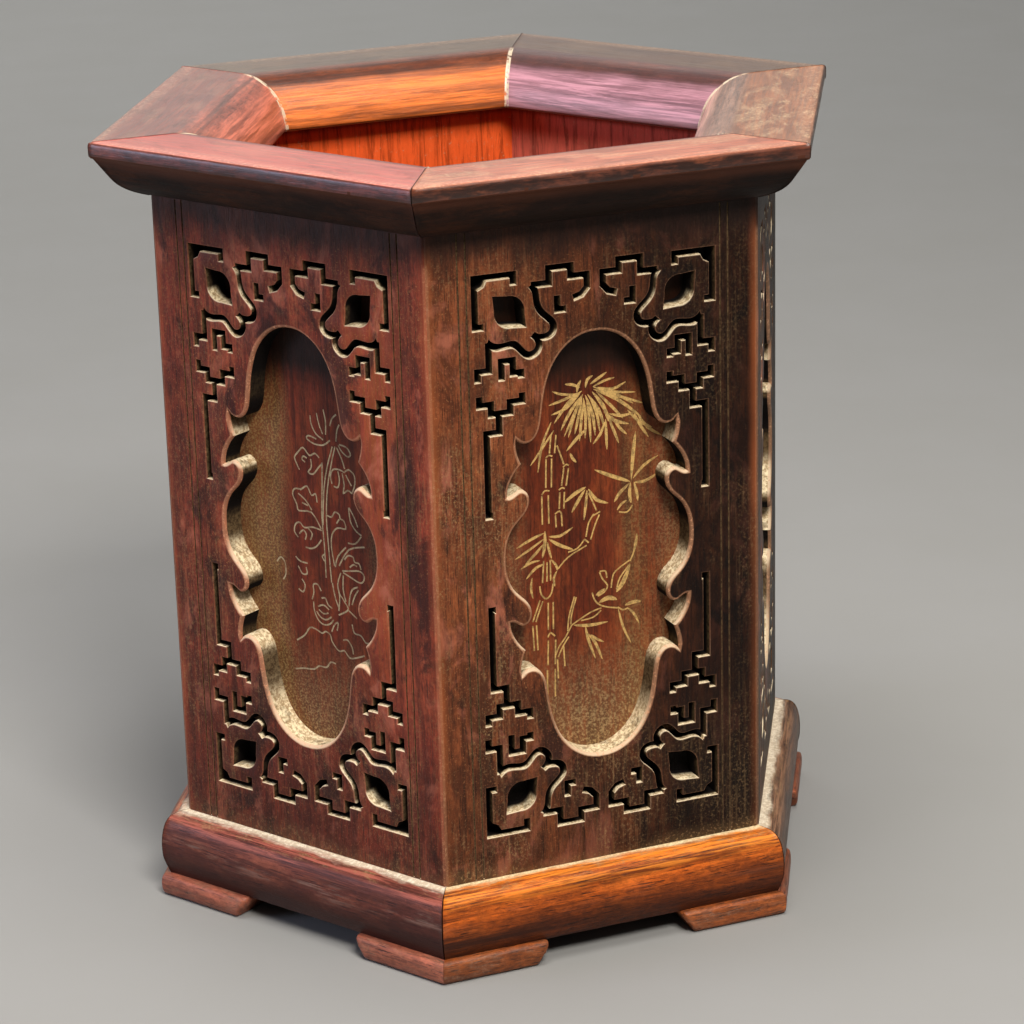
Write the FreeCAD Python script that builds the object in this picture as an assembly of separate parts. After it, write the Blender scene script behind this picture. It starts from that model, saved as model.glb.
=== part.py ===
"""Hexagonal hardwood brush pot, built as it is joined.

Six mitred rim rails, six double-skinned walls (a pierced fret panel in front of an engraved board),
six mitred base rails round a floor board, and a bracket foot under each corner.
Everything is in millimetres. The origin is the centre of the underside, +Z is up, and the corners lie
at 0, 60, ... 300 degrees. Every piece is made for a wall that faces +X and then turned to its own side.
In a cross-section the first number is the distance out from the pot's axis. On a wall, "across" is the
distance sideways from the wall's centre line, and the pattern is drawn as (across, height).
"""
import FreeCAD, Part
import math
import os

V = FreeCAD.Vector
os.makedirs("parts", exist_ok=True)

# ---------------------------------------------------------------- driving dimensions
HEIGHT = 165.0                       # underside of the feet to the rim's top
RIM_OUT = 71.5                       # distance of the rim's outer edge from the axis, on a flat
RIM_FLAT_IN = 56.5                   # where the rim's flat top turns down into the mouth
RIM_LOW = 153.2                      # underside of the rim, and the wall's upper shoulder
WALL_OUT, SKIN, WALL_IN = 61.0, 55.9, 51.4   # outer face, face between the two skins, inner face
WALL_LOW = 18.8                      # top of the base moulding, and the wall's lower shoulder
TONGUE_OUT, TONGUE_IN = 59.4, 52.9   # tongue along the wall's top and bottom edges
TONGUE_LONG, GROOVE_DEEP = 3.0, 3.2
FOOT_HIGH, FOOT_OUT, FOOT_IN = 5.0, 66.9, 54.0
FOOT_TIP_TOP, FOOT_TIP_LOW = 15.0, 17.5      # where a foot arm ends, across from the wall's centre
FLOOR_LOW, FLOOR_TOP, FLOOR_OUT = 7.5, 12.5, 51.3
FLOOR_TONGUE_LOW, FLOOR_TONGUE_TOP, FLOOR_TONGUE_OUT, FLOOR_GROOVE_OUT = 8.5, 11.0, 53.7, 53.9
PEG_R, PEG_OUT, PEG_ACROSS = 1.25, 60.5, 27.0
PEG_LOW, PEG_TOP, PEG_HOLE_TOP = 0.4, 11.3, 11.5
RIM_SPLINE = (67.0, 12.0, 10.0, 158.4, 160.9)    # middle radius, length, width, lowest and highest level
BASE_SPLINE = (67.8, 8.0, 9.0, 12.0, 14.2)
PATTERN_MID = 86.0                   # height of the middle of the fretwork
KERF = 1.3                           # width of the fretsaw cuts
HOLE_ACROSS, HOLE_UP, HOLE_R = 18.05, 50.4, 3.15
BORDERS, BORDER_WIDE, BORDER_DEEP = (26.9, 28.6), 0.3, 0.2   # scribed lines beside the fretwork
LINE_WIDE, LINE_DEEP = 0.36, 0.35    # engraved picture lines

SIDES = {"front": -90, "front_left": -150, "back_left": 150, "back": 90, "back_right": 30,
         "front_right": -30}
CORNERS = {"front_left": -120, "left": 180, "back_left": 120, "back_right": 60, "right": 0,
           "front_right": -60}
TAN30 = math.tan(math.radians(30))

# ---------------------------------------------------------------- cross-sections, (out, height)
# Each is a closed ring of runs. A "curve" run is one smooth line through its points.
RIM = [
    ("line", [(RIM_FLAT_IN, HEIGHT), (70.9, HEIGHT)]),
    ("curve", [(70.9, HEIGHT), (71.32, 164.82), (RIM_OUT, 164.4)]),
    ("line", [(RIM_OUT, 164.4), (RIM_OUT, 162.2), (70.8, 161.8)]),
    ("curve", [(70.8, 161.8), (68.8, 158.8), (67.5, 156.9), (66.2, 155.6), (64.5, 154.5), (62.7, 153.7),
               (61.3, RIM_LOW)]),
    ("line", [(61.3, RIM_LOW), (TONGUE_OUT, RIM_LOW), (TONGUE_OUT, RIM_LOW + GROOVE_DEEP),
              (TONGUE_IN, RIM_LOW + GROOVE_DEEP), (TONGUE_IN, RIM_LOW), (45.7, RIM_LOW)]),
    ("curve", [(45.7, RIM_LOW), (45.2, 154.4), (45.6, 156.2), (46.3, 158.3), (47.4, 160.4), (49.3, 162.5),
               (51.9, 164.1), (RIM_FLAT_IN, HEIGHT)]),
]
BASE = [
    ("curve", [(61.2, WALL_LOW), (63.5, 18.4), (65.0, 17.4), (65.9, 15.5), (66.4, 12.3), (66.3, 9.0),
               (65.7, 6.8), (65.0, FOOT_HIGH)]),
    ("line", [(65.0, FOOT_HIGH), (FLOOR_OUT, FOOT_HIGH), (FLOOR_OUT, FLOOR_TONGUE_LOW),
              (FLOOR_GROOVE_OUT, FLOOR_TONGUE_LOW), (FLOOR_GROOVE_OUT, FLOOR_TONGUE_TOP),
              (FLOOR_OUT, FLOOR_TONGUE_TOP), (FLOOR_OUT, WALL_LOW), (TONGUE_IN, WALL_LOW),
              (TONGUE_IN, WALL_LOW - GROOVE_DEEP), (TONGUE_OUT, WALL_LOW - GROOVE_DEEP),
              (TONGUE_OUT, WALL_LOW), (61.2, WALL_LOW)]),
]
FOOT = [
    ("line", [(65.9, FOOT_HIGH), (FOOT_IN, FOOT_HIGH), (FOOT_IN, 0.0), (65.7, 0.0)]),
    ("curve", [(65.7, 0.0), (66.55, 0.35), (FOOT_OUT, 1.2), (67.0, 2.5), (FOOT_OUT, 3.9), (66.6, 4.65),
               (65.9, FOOT_HIGH)]),
]

# ---------------------------------------------------------------- fretwork, one quarter of the pattern
# Points are (across, up) from the pattern's middle. The quarter is mirrored sideways and upside down.
STRAIGHT_CUTS = [
    [(23.5, 48.0), (25.2, 48.0), (25.2, 57.7), (17.1, 57.7), (17.1, 55.6)],      # bracket round the corner
    [(13.4, 55.1), (9.7, 55.1), (9.7, 58.0), (5.1, 58.0), (5.1, 55.9), (1.7, 55.9), (1.7, 53.4), (2.9, 52.1),
     (4.6, 51.6)],                                                               # key at top and bottom
    [(6.2, 49.6), (8.0, 49.6), (8.0, 52.4)],
    [(22.6, 44.8), (22.6, 39.2), (25.0, 39.2), (25.0, 37.1)],                    # key at the side
    [(15.9, 37.0), (15.9, 38.1), (17.6, 38.1), (17.6, 40.7), (20.0, 40.7), (20.0, 36.9)],
    [(15.8, 34.0), (15.8, 32.4), (18.4, 32.4), (18.4, 30.4), (22.4, 30.4), (22.4, 32.4), (24.8, 32.4),
     (24.8, 34.2)],
    [(20.8, 30.4), (20.8, 26.6), (23.5, 26.6), (23.5, 9.8), (22.6, 9.8)],        # stem and long side cut
]
CURVED_CUTS = [                                                                  # cloud round the hole
    [(13.4, 55.1), (12.5, 53.4), (12.3, 51.6), (11.6, 49.9), (9.9, 48.2), (8.9, 46.7), (9.3, 45.2),
     (10.6, 44.6), (12.4, 44.7)],
    [(13.3, 45.3), (12.3, 44.3), (12.0, 43.2), (12.7, 41.8), (14.1, 41.3), (15.6, 42.3), (17.2, 43.8),
     (19.8, 43.7), (22.7, 44.9)],
]
POCKET = [(25.5, 58.0), (22.2, 58.0), (23.3, 55.9), (25.5, 54.8)]
HOLE_NICKS = [(1, 1), (-1, -1)]      # the hole runs out to a point on each side along the diagonal
NICK_LONG, NICK_WIDE, NICK_ROOT = 1.7, 4.4, 2.15     # past the hole's edge, across, and where it starts
# Quarter outline of the tall opening: smooth runs that meet in points.
OPENING = [
    [(0.0, 44.3), (3.2, 43.8), (6.2, 42.1), (8.7, 39.3), (10.3, 35.9), (11.2, 32.4), (11.7, 29.0),
     (12.15, 26.5), (12.9, 24.8), (14.3, 23.6), (15.8, 23.5), (17.3, 24.6)],
    [(17.3, 24.6), (17.25, 22.6), (16.9, 21.0), (16.3, 19.4)],
    [(16.3, 19.4), (17.7, 17.8), (18.8, 15.9), (19.4, 13.1)],
    [(19.4, 13.1), (18.1, 13.5), (16.8, 14.2), (15.6, 13.8), (14.8, 12.6), (14.85, 10.9), (15.9, 9.0),
     (17.9, 7.0), (19.4, 4.4), (20.0, 1.6), (20.05, 0.0)],
]


# ---------------------------------------------------------------- helpers
def turned(shape, degrees):
    s = shape.copy()
    s.rotate(V(0, 0, 0), V(0, 0, 1), degrees)
    return s


def save(node, shape):
    assert all(s.isValid() for s in shape.Solids), node
    shape.exportStep(f"parts/{node}.step")


def box(x0, x1, y0, y1, z0, z1):
    return Part.makeBox(x1 - x0, y1 - y0, z1 - z0, V(x0, y0, z0))


def smooth(points):
    c = Part.BSplineCurve()
    c.interpolate(points)
    return c.toShape()


def straight(points):
    return [Part.makeLine(a, b) for a, b in zip(points, points[1:])]


def wedge(low, high, right=-1, left=1):
    """The part of the plan that belongs to one side, between its two mitre planes."""
    reach = 120.0
    ring = [V(0, 0, low), V(reach, right * reach * TAN30, low), V(reach, left * reach * TAN30, low)]
    return Part.Face(Part.makePolygon(ring + ring[:1])).extrude(V(0, 0, high - low))


def rail(section):
    """A length of moulding with this cross-section, mitred at both ends."""
    edges = []
    for kind, points in section:
        run = [V(out, -60, up) for out, up in points]
        edges += [smooth(run)] if kind == "curve" else straight(run)
    bar = Part.Face(Part.Wire(edges)).extrude(V(0, 120, 0))
    return bar.common(wedge(-1, HEIGHT + 1))


def hexagon(out, low, high):
    """A six-sided slab whose flats are this far out."""
    ring = [V(out / math.cos(math.radians(30)) * math.cos(math.radians(a)),
              out / math.cos(math.radians(30)) * math.sin(math.radians(a)), low) for a in range(0, 361, 60)]
    return Part.Face(Part.makePolygon(ring)).extrude(V(0, 0, high - low))


def spline_slot(radius, length, width, low, high):
    """The loose tongue that crosses a mitre, lying on the +X corner."""
    return box(radius - length / 2, radius + length / 2, -width / 2, width / 2, low, high)


def banks(points, wide):
    """The two sides of a line of this width. wide is one number or one per point."""
    left, right = [], []
    for i, (a, b) in enumerate(points):
        w = (wide[i] if isinstance(wide, (list, tuple)) else wide) / 2
        ways = []
        for p, q in ((i - 1, i), (i, i + 1)):
            if 0 <= p and q < len(points):
                da, db = points[q][0] - points[p][0], points[q][1] - points[p][1]
                ways.append((da / math.hypot(da, db), db / math.hypot(da, db)))
        ta, tb = sum(x for x, _ in ways), sum(y for _, y in ways)
        ta, tb = ta / math.hypot(ta, tb), tb / math.hypot(ta, tb)
        w /= max(0.4, ta * ways[0][0] + tb * ways[0][1])
        left.append((a - tb * w, b + ta * w))
        right.append((a + tb * w, b - ta * w))
    return left, right


def cutter(edges, front, deep):
    """A tool that cuts this closed outline into a wall, from its face at front to this depth."""
    return Part.Face(Part.Wire(edges)).extrude(V(-deep, 0, 0))


def on_wall(points, out):
    return [V(out, a, b) for a, b in points]


def ribbon(points, wide, out):
    """The closed outline of a line of this width, on a wall's face."""
    left, right = banks(points, wide)
    return on_wall(left + right[::-1] + left[:1], out)


def line_cut(points, wide, out, deep, curved=False):
    """A cut along the points: a saw cut when it goes right through, an engraved line when shallow."""
    left, right = (on_wall(side, out) for side in banks(points, wide))
    sides = [smooth(left), smooth(right)] if curved else straight(left) + straight(right)
    ends = [Part.makeLine(left[0], right[0]), Part.makeLine(left[-1], right[-1])]
    return cutter(Part.__sortEdges__(sides + ends), out, deep)


# ---------------------------------------------------------------- engraved pictures, (across, height)
# A stroke is (width, points): 0 is a plain engraved line, anything else is a leaf that is this wide in
# the middle and runs out to a point. Each picture starts with how far it sits off the board's middle.
def blossom(a, b, r, petals=5, turn=90.0):
    """A round flower seen from the front, one line to each petal."""
    strokes = []
    for k in range(petals):
        mid, half = turn + k * 360.0 / petals, 180.0 / petals
        ring = [(0.28, -0.5), (0.8, -0.85), (1.0, 0.0), (0.8, 0.85), (0.28, 0.5)]
        strokes.append((0, [(a + r * d * math.cos(math.radians(mid + w * half)),
                             b + r * d * math.sin(math.radians(mid + w * half))) for d, w in ring]))
    return strokes


def needles(a, b, r, start, end, count):
    """A fan of straight needles."""
    turns = [math.radians(start + (end - start) * k / (count - 1)) for k in range(count)]
    return [(0, [(a + 0.15 * r * math.cos(t), b + 0.15 * r * math.sin(t)),
                 (a + r * math.cos(t), b + r * math.sin(t))]) for t in turns]


def stalk(points, wide):
    """A stem drawn as two lines side by side."""
    return [(0, side) for side in banks(points, wide)]


def bamboo():
    cane = []
    for a0, b0, a1, b1, wide in ((-10.2, 54, -10.1, 60, 1.7), (-10.0, 61, -9.8, 66.3, 1.6),
                                 (-10.0, 68.6, -9.9, 74.4, 1.1), (-10.6, 91, -10.6, 97, 1.4),
                                 (-9.8, 98.5, -9.6, 104.5, 1.2), (-8.9, 105.5, -8.5, 109.3, 1.1),
                                 (-7.7, 90, -7.8, 92.6, 1.3), (-7.1, 93.7, -6.9, 97.2, 1.0),
                                 (-6.5, 98.4, -5.9, 102.1, 1.0), (-13.5, 70, -13.3, 64.6, 0.8)):
        cane += stalk([(a0, b0), (a1, b1)], wide)
    lines = [
        [(-10.7, 67.0), (-10.1, 67.9), (-9.1, 67.0)], [(-11.3, 97.2), (-10.6, 98.0), (-9.6, 97.8)],
        [(-10.3, 104.7), (-9.6, 105.2), (-8.8, 104.9)], [(-8.6, 92.8), (-7.6, 93.3), (-7.1, 92.6)],
        [(-7.6, 97.7), (-6.9, 98.1), (-6.3, 97.8)], [(-6.6, 102.3), (-5.9, 102.8), (-5.3, 102.5)],
        [(-11.6, 78.7), (-11.2, 83.4)], [(-10.6, 78.9), (-10.5, 83.0)], [(-9.8, 79.0), (-9.8, 83.4)],
        [(-12.2, 78.2), (-11.9, 76.4), (-10.8, 75.3), (-9.7, 76.3), (-9.3, 78.3)],
        [(-12.2, 75.2), (-13.2, 72.6), (-13.9, 70.8)], [(-11.6, 74.9), (-12.6, 72.4), (-13.2, 70.7)],
        [(-8.2, 81.2), (-5.8, 83.4), (-1.8, 85.2)], [(-5.9, 84.4), (-3.8, 84.9), (-2.2, 86.6)],
        [(-2.3, 86.6), (-1.3, 85.7)], [(-1.9, 87.0), (-1.3, 89.8), (-0.1, 91.6)],
        [(-0.9, 86.3), (0.1, 89.2), (1.1, 91.3)], [(-0.4, 91.2), (1.3, 91.9)],
        [(0.5, 92.2), (-0.4, 94.4), (-1.2, 96.2)], [(-6.4, 102.9), (-7.1, 105.0), (-7.8, 107.0)],
        [(-9.2, 62.6), (-8.3, 64.6), (-6.9, 66.3), (-5.4, 68.8)], [(-8.5, 62.4), (-7.4, 64.6), (-6.1, 66.4)],
        [(-6.3, 67.6), (-6.0, 70.6), (-4.7, 74.8)], [(-5.6, 68.9), (-5.4, 71.0), (-4.3, 74.6)],
        [(-5.4, 68.8), (-3.0, 70.0), (-1.0, 70.9), (1.2, 71.4)], [(-3.4, 69.4), (-0.6, 69.7), (1.1, 70.9)],
        [(-7.3, 64.6), (-7.1, 60.2)], [(-8.7, 62.0), (-8.6, 57.8)], [(-0.8, 75.0), (-0.3, 73.4), (0.7, 72.2),
        (2.4, 71.4), (4.8, 70.8)], [(0.4, 74.0), (1.9, 74.7), (2.6, 76.0), (1.5, 77.6), (0.9, 79.1)],
        [(0.9, 79.2), (2.2, 79.1), (2.5, 77.6)], [(3.4, 75.3), (3.7, 77.2), (4.4, 78.7), (7.6, 80.6)],
        [(4.6, 74.8), (5.4, 77.2), (7.7, 79.8)], [(7.7, 80.4), (8.5, 82.2), (8.9, 84.4)],
        [(4.8, 71.0), (5.9, 70.2), (7.0, 70.4)], [(8.4, 92.2), (7.2, 90.9), (5.4, 91.2)],
    ]
    leaves = [
        (0.7, [(-1.7, 97.5), (-4.0, 96.5), (-6.5, 94.9)]),
        (0.6, [(-1.9, 97.0), (-3.5, 94.8), (-4.9, 92.6)]),
        (0.5, [(-1.5, 96.8), (-1.8, 94.0), (-2.3, 90.6)]),
        (0.6, [(-1.2, 97.0), (0.5, 94.5), (3.1, 93.4)]),
        (0.7, [(8.2, 97.6), (8.7, 103.0), (9.3, 107.5)]),
        (0.7, [(8.0, 97.2), (4.5, 98.7), (0.2, 100.8)]),
        (0.5, [(8.6, 97.8), (11.0, 100.2), (14.2, 101.8)]),
        (0.5, [(8.8, 96.9), (11.3, 96.9), (14.0, 98.1)]), (0.6, [(7.8, 96.9), (5.6, 95.1), (4.4, 93.4)]),
        (0.6, [(8.0, 97.0), (7.8, 94.6), (8.1, 92.7)]), (0.5, [(8.8, 97.0), (9.4, 94.7), (9.6, 92.9)]),
        (0.4, [(7.2, 93.4), (6.0, 92.8), (5.0, 91.6)]),
        (0.6, [(-2.2, 117.5), (-5.3, 115.3), (-8.3, 111.6)]),
        (0.5, [(-3.0, 117.2), (-6.0, 116.2), (-9.4, 115.4)]),
        (0.4, [(-3.2, 116.9), (-6.4, 117.3), (-8.6, 118.2)]),
        (0.6, [(-2.3, 116.5), (-4.8, 113.5), (-6.9, 109.9)]),
        (0.5, [(-2.5, 116.0), (-4.0, 112.4), (-5.3, 108.3)]),
        (0.5, [(-2.2, 116.0), (-3.1, 112.0), (-3.9, 108.8)]),
        (0.6, [(-1.3, 109.6), (-3.4, 107.9), (-5.8, 105.5)]),
        (0.5, [(-1.9, 116.0), (-1.5, 112.0), (-1.7, 107.6)]),
        (0.6, [(-1.5, 116.5), (0.0, 112.4), (0.5, 107.9)]),
        (0.5, [(2.6, 110.4), (1.6, 108.0), (0.0, 106.2)]),
        (0.6, [(-1.0, 116.6), (1.4, 113.0), (2.5, 109.4)]),
        (0.5, [(2.8, 111.0), (2.9, 107.8), (3.0, 104.6)]),
        (0.6, [(0.0, 117.0), (2.4, 113.8), (3.4, 110.4)]),
        (0.5, [(3.6, 110.6), (4.6, 108.3), (5.6, 105.6)]),
        (0.6, [(2.4, 112.6), (4.8, 110.4), (7.9, 109.3)]),
        (0.5, [(3.6, 112.0), (6.2, 111.2), (9.0, 111.5)]),
        (0.5, [(9.0, 111.4), (10.4, 108.6), (12.1, 106.0)]),
        (0.6, [(0.3, 117.5), (5.6, 114.6), (10.6, 110.4)]),
        (0.5, [(9.8, 111.0), (12.0, 108.0), (14.9, 106.0)]),
        (0.5, [(0.2, 118.0), (5.6, 115.4), (11.3, 113.1)]),
        (0.4, [(0.2, 118.0), (2.6, 118.9), (4.9, 119.3)]),
        (0.5, [(1.0, 117.8), (4.4, 117.0), (7.3, 118.1)]),
        (0.4, [(2.0, 117.1), (5.6, 116.2), (9.4, 115.7)]),
        (0.5, [(-3.3, 117.3), (-3.0, 118.6), (-2.4, 119.7)]),
        (0.5, [(-1.4, 118.0), (-1.0, 119.6), (0.2, 120.3)]),
        (0.4, [(-8.9, 112.0), (-11.0, 107.4), (-12.0, 102.0)]),
        (0.4, [(-8.4, 110.2), (-11.0, 106.8), (-13.6, 103.6)]),
        (0.5, [(-5.0, 105.0), (-4.5, 103.9), (-3.7, 102.9)]),
        (0.5, [(-11.0, 89.2), (-13.8, 88.3), (-17.0, 86.9)]),
        (0.4, [(-11.0, 88.0), (-14.2, 86.2), (-17.4, 84.6)]),
        (0.5, [(-11.0, 87.0), (-13.0, 85.1), (-15.2, 83.2)]),
        (0.5, [(-10.0, 88.3), (-7.5, 88.1), (-4.7, 89.5)]),
        (0.6, [(-10.0, 87.8), (-7.6, 86.1), (-4.8, 84.8)]),
        (0.4, [(-10.3, 87.2), (-10.0, 85.4), (-9.5, 83.6)]),
        (0.6, [(-10.8, 89.6), (-10.9, 86.6), (-11.5, 84.0)]),
        (0.5, [(-11.0, 82.7), (-13.0, 82.1), (-15.1, 80.1)]),
        (0.4, [(-12.0, 83.6), (-14.0, 83.4), (-16.2, 82.4)]),
        (0.4, [(-13.8, 80.2), (-14.1, 78.0), (-13.7, 75.8)]),
        (0.4, [(-9.6, 83.4), (-8.6, 82.1), (-8.3, 80.9)]),
        (0.4, [(-8.4, 80.8), (-9.1, 79.4), (-8.9, 77.6)]),
        (0.6, [(-5.0, 68.7), (-1.6, 68.1), (2.6, 68.2)]),
        (0.5, [(-2.4, 68.0), (-1.8, 65.0), (-0.3, 60.7)]),
        (0.5, [(-1.8, 66.3), (-0.2, 63.9), (1.2, 60.3)]),
        (0.4, [(-1.2, 66.0), (0.0, 64.9), (1.6, 64.0)]), (0.9, [(0.7, 72.6), (2.7, 73.3), (4.7, 72.6)]),
        (0.9, [(4.5, 74.2), (6.1, 76.2), (7.7, 79.6)]), (0.5, [(8.5, 82.0), (9.0, 84.0), (9.3, 86.0)]),
        (0.7, [(6.4, 71.1), (8.2, 71.5), (10.0, 71.4)]), (0.4, [(6.9, 70.5), (8.3, 69.1), (9.5, 66.7)]),
        (0.4, [(4.9, 70.6), (5.9, 66.6), (7.6, 62.8)]), (0.6, [(0.0, 74.2), (1.0, 74.8), (2.1, 75.4)]),
        (0.5, [(-2.6, 117.0), (-5.6, 114.4), (-8.9, 113.4)]),
        (0.5, [(-2.0, 116.8), (-3.6, 113.6), (-6.2, 108.6)]),
        (0.5, [(-1.8, 115.6), (-2.4, 111.8), (-2.9, 107.2)]),
        (0.5, [(-1.2, 115.4), (-0.7, 111.4), (-0.5, 106.6)]),
        (0.5, [(-0.6, 116.2), (0.9, 112.4), (1.5, 108.6)]),
        (0.5, [(0.4, 116.4), (2.9, 112.6), (4.4, 108.8)]),
        (0.5, [(0.9, 116.9), (4.2, 113.4), (6.6, 110.6)]),
        (0.5, [(1.4, 117.2), (5.2, 115.8), (8.9, 113.4)]),
        (0.5, [(4.2, 111.4), (5.8, 108.8), (7.4, 107.2)]),
        (0.5, [(7.6, 112.2), (10.0, 109.6), (12.9, 107.9)]),
        (0.5, [(-0.4, 118.6), (1.4, 119.6), (3.2, 120.6)]),
        (0.5, [(-2.6, 118.2), (-4.2, 119.0), (-5.8, 119.3)]),
    ]
    return cane + [(0, run) for run in lines] + leaves


def garden_flowers():
    lines = [
        [(1.6, 76.8), (1.5, 84.0), (1.2, 90.0), (1.6, 96.0), (1.9, 101.4)],
        [(3.0, 76.0), (2.6, 84.0), (2.4, 90.0), (3.0, 96.0), (4.2, 101.0), (5.5, 105.3)],
        [(1.4, 88.0), (2.0, 95.0), (3.0, 100.0), (4.8, 105.2)], [(1.6, 81.9), (0.8, 81.2), (1.4, 80.3)],
        [(3.2, 76.0), (3.8, 73.0), (4.6, 71.0)], [(-0.7, 110.8), (-0.5, 109.0), (0.6, 107.2), (2.5, 106.2)],
        [(1.0, 111.6), (1.5, 109.4), (2.4, 107.4)], [(2.8, 112.6), (3.3, 110.2), (3.2, 107.4)],
        [(6.2, 112.1), (5.0, 111.0), (4.4, 109.4)], [(6.9, 110.1), (6.2, 108.8), (5.8, 106.4)],
        [(0.7, 106.1), (-1.3, 106.5), (-1.9, 105.8), (0.0, 105.0), (2.4, 105.1), (4.3, 106.4)],
        [(6.6, 105.9), (8.5, 105.6), (9.5, 104.3), (8.7, 103.7), (7.2, 104.6), (6.4, 105.7)],
        [(5.9, 105.2), (7.2, 102.8), (7.8, 101.0)],
        [(1.2, 102.2), (0.1, 103.0), (-1.4, 102.3), (-3.0, 103.7), (-4.3, 102.6), (-5.4, 101.3), (-4.8, 99.8),
         (-4.2, 98.8)],
        [(-2.1, 101.6), (-3.0, 101.9), (-3.4, 101.2), (-2.6, 100.7)],
        [(-1.1, 101.6), (-1.0, 99.9), (-1.9, 98.7), (-0.6, 98.5), (0.7, 99.9), (2.0, 101.3)],
        [(4.3, 97.3), (4.0, 99.0), (4.8, 100.4), (6.4, 100.6), (7.8, 100.2)],
        [(6.0, 100.2), (6.3, 98.4), (5.8, 96.8), (4.7, 96.9)],
        [(7.1, 100.0), (7.5, 97.6), (7.2, 95.8), (8.4, 96.6), (9.6, 96.1)],
        [(7.8, 100.4), (8.9, 101.0), (10.2, 100.1), (10.3, 98.2), (9.6, 96.4)], [(8.0, 99.8), (9.4, 97.7)],
        [(0.1, 92.6), (-0.2, 94.4), (-1.3, 93.9), (-2.4, 95.6), (-3.6, 95.0), (-4.3, 94.5)],
        [(-4.2, 94.7), (-5.8, 94.5), (-6.4, 93.2), (-5.4, 91.3), (-4.9, 90.0), (-1.5, 90.2), (0.9, 87.1)],
        [(-4.9, 93.7), (-2.9, 92.5), (-1.4, 90.7)], [(-4.0, 91.9), (-2.4, 91.5)],
        [(1.0, 86.8), (-1.4, 87.1), (-3.6, 86.6), (-4.8, 87.5), (-6.0, 86.9), (-6.4, 85.3), (-5.4, 84.2)],
        [(-5.1, 85.0), (-4.0, 86.0), (-3.2, 85.2), (-3.6, 84.0)], [(-2.6, 86.6), (-1.6, 85.6), (-2.2, 84.2)],
        [(-3.6, 82.4), (-2.0, 82.4), (-0.5, 83.2), (0.8, 84.8)],
        [(2.6, 90.3), (3.8, 90.2), (4.7, 91.4), (5.8, 91.1), (6.1, 90.2), (7.0, 89.9), (7.4, 88.3),
         (5.2, 88.1),
         (3.7, 86.4), (3.4, 83.6), (4.0, 79.8)],
        [(5.0, 89.0), (5.8, 90.1)], [(8.4, 93.0), (8.7, 90.2), (10.0, 88.4), (11.5, 87.6)],
        [(8.5, 93.0), (9.7, 91.2), (10.6, 89.2)], [(7.8, 85.4), (9.8, 85.6), (11.4, 87.4)],
        [(4.2, 79.6), (5.0, 82.0), (7.3, 84.4)], [(5.2, 80.0), (8.0, 84.0), (12.2, 85.3)],
        [(6.7, 81.6), (7.7, 82.7), (9.0, 82.6), (9.4, 81.6), (10.5, 81.5), (11.0, 80.3)],
        [(8.0, 80.2), (9.0, 81.0), (10.0, 80.8)],
        [(6.0, 79.1), (8.2, 79.5), (10.5, 79.9), (11.7, 79.2), (11.5, 77.9), (10.4, 77.4), (8.3, 78.1),
         (6.2, 78.8)],
        [(5.6, 78.6), (4.6, 76.0), (5.0, 73.4), (4.6, 70.2)], [(6.2, 78.2), (6.0, 75.2), (6.6, 72.6)],
        [(5.0, 74.0), (6.5, 72.2), (7.1, 70.9), (4.5, 69.3)], [(7.3, 70.8), (9.4, 69.5)],
        [(10.0, 76.4), (8.5, 75.6), (7.7, 73.8), (7.4, 71.8)], [(10.1, 75.8), (9.0, 74.2), (8.2, 72.2)],
        [(-7.2, 61.5), (-5.0, 63.0), (-3.4, 65.0), (-1.6, 64.9), (-0.2, 64.4), (0.8, 65.0), (2.0, 64.5),
         (2.5, 63.0), (4.2, 61.4), (5.6, 61.8), (7.0, 60.5), (8.8, 60.9), (11.0, 61.8)],
        [(-8.0, 55.0), (-5.6, 55.6), (-2.8, 56.0), (-1.4, 57.0), (0.6, 57.1), (1.8, 58.5), (3.2, 58.4)],
        [(5.4, 64.0), (6.6, 64.3), (7.7, 63.0), (8.0, 61.5)],
        [(2.4, 65.2), (3.3, 67.0), (4.3, 67.6), (3.9, 65.8)],
        [(8.0, 68.0), (8.5, 66.2), (10.2, 66.0), (11.4, 64.7), (12.4, 64.8)],
        [(-2.5, 71.3), (-1.9, 73.0), (-2.0, 74.6), (-0.8, 74.9), (0.1, 73.6)],
        [(0.1, 72.1), (1.1, 72.3), (1.8, 71.0), (2.9, 70.4)], [(-1.0, 70.1), (0.6, 70.7), (2.0, 69.9)],
        [(-2.1, 71.0), (-2.0, 69.0), (-1.0, 67.1), (0.5, 66.4), (2.1, 66.9), (3.1, 68.0)],
        [(-1.4, 69.0), (-0.4, 67.9), (1.1, 67.6), (2.6, 68.5)], [(-0.8, 69.5), (0.5, 68.8), (1.8, 69.2)],
        [(-6.4, 79.9), (-5.2, 79.1), (-3.2, 79.0)], [(-5.8, 78.0), (-4.8, 76.5), (-3.5, 76.7), (-3.7, 78.1)],
        [(-6.0, 73.0), (-4.8, 72.5), (-4.2, 74.1), (-5.0, 75.3)],
        [(-11.6, 77.8), (-10.5, 79.0), (-9.4, 78.0), (-9.3, 75.6), (-10.1, 74.2)],
    ]
    return [(0, run) for run in lines]


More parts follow.
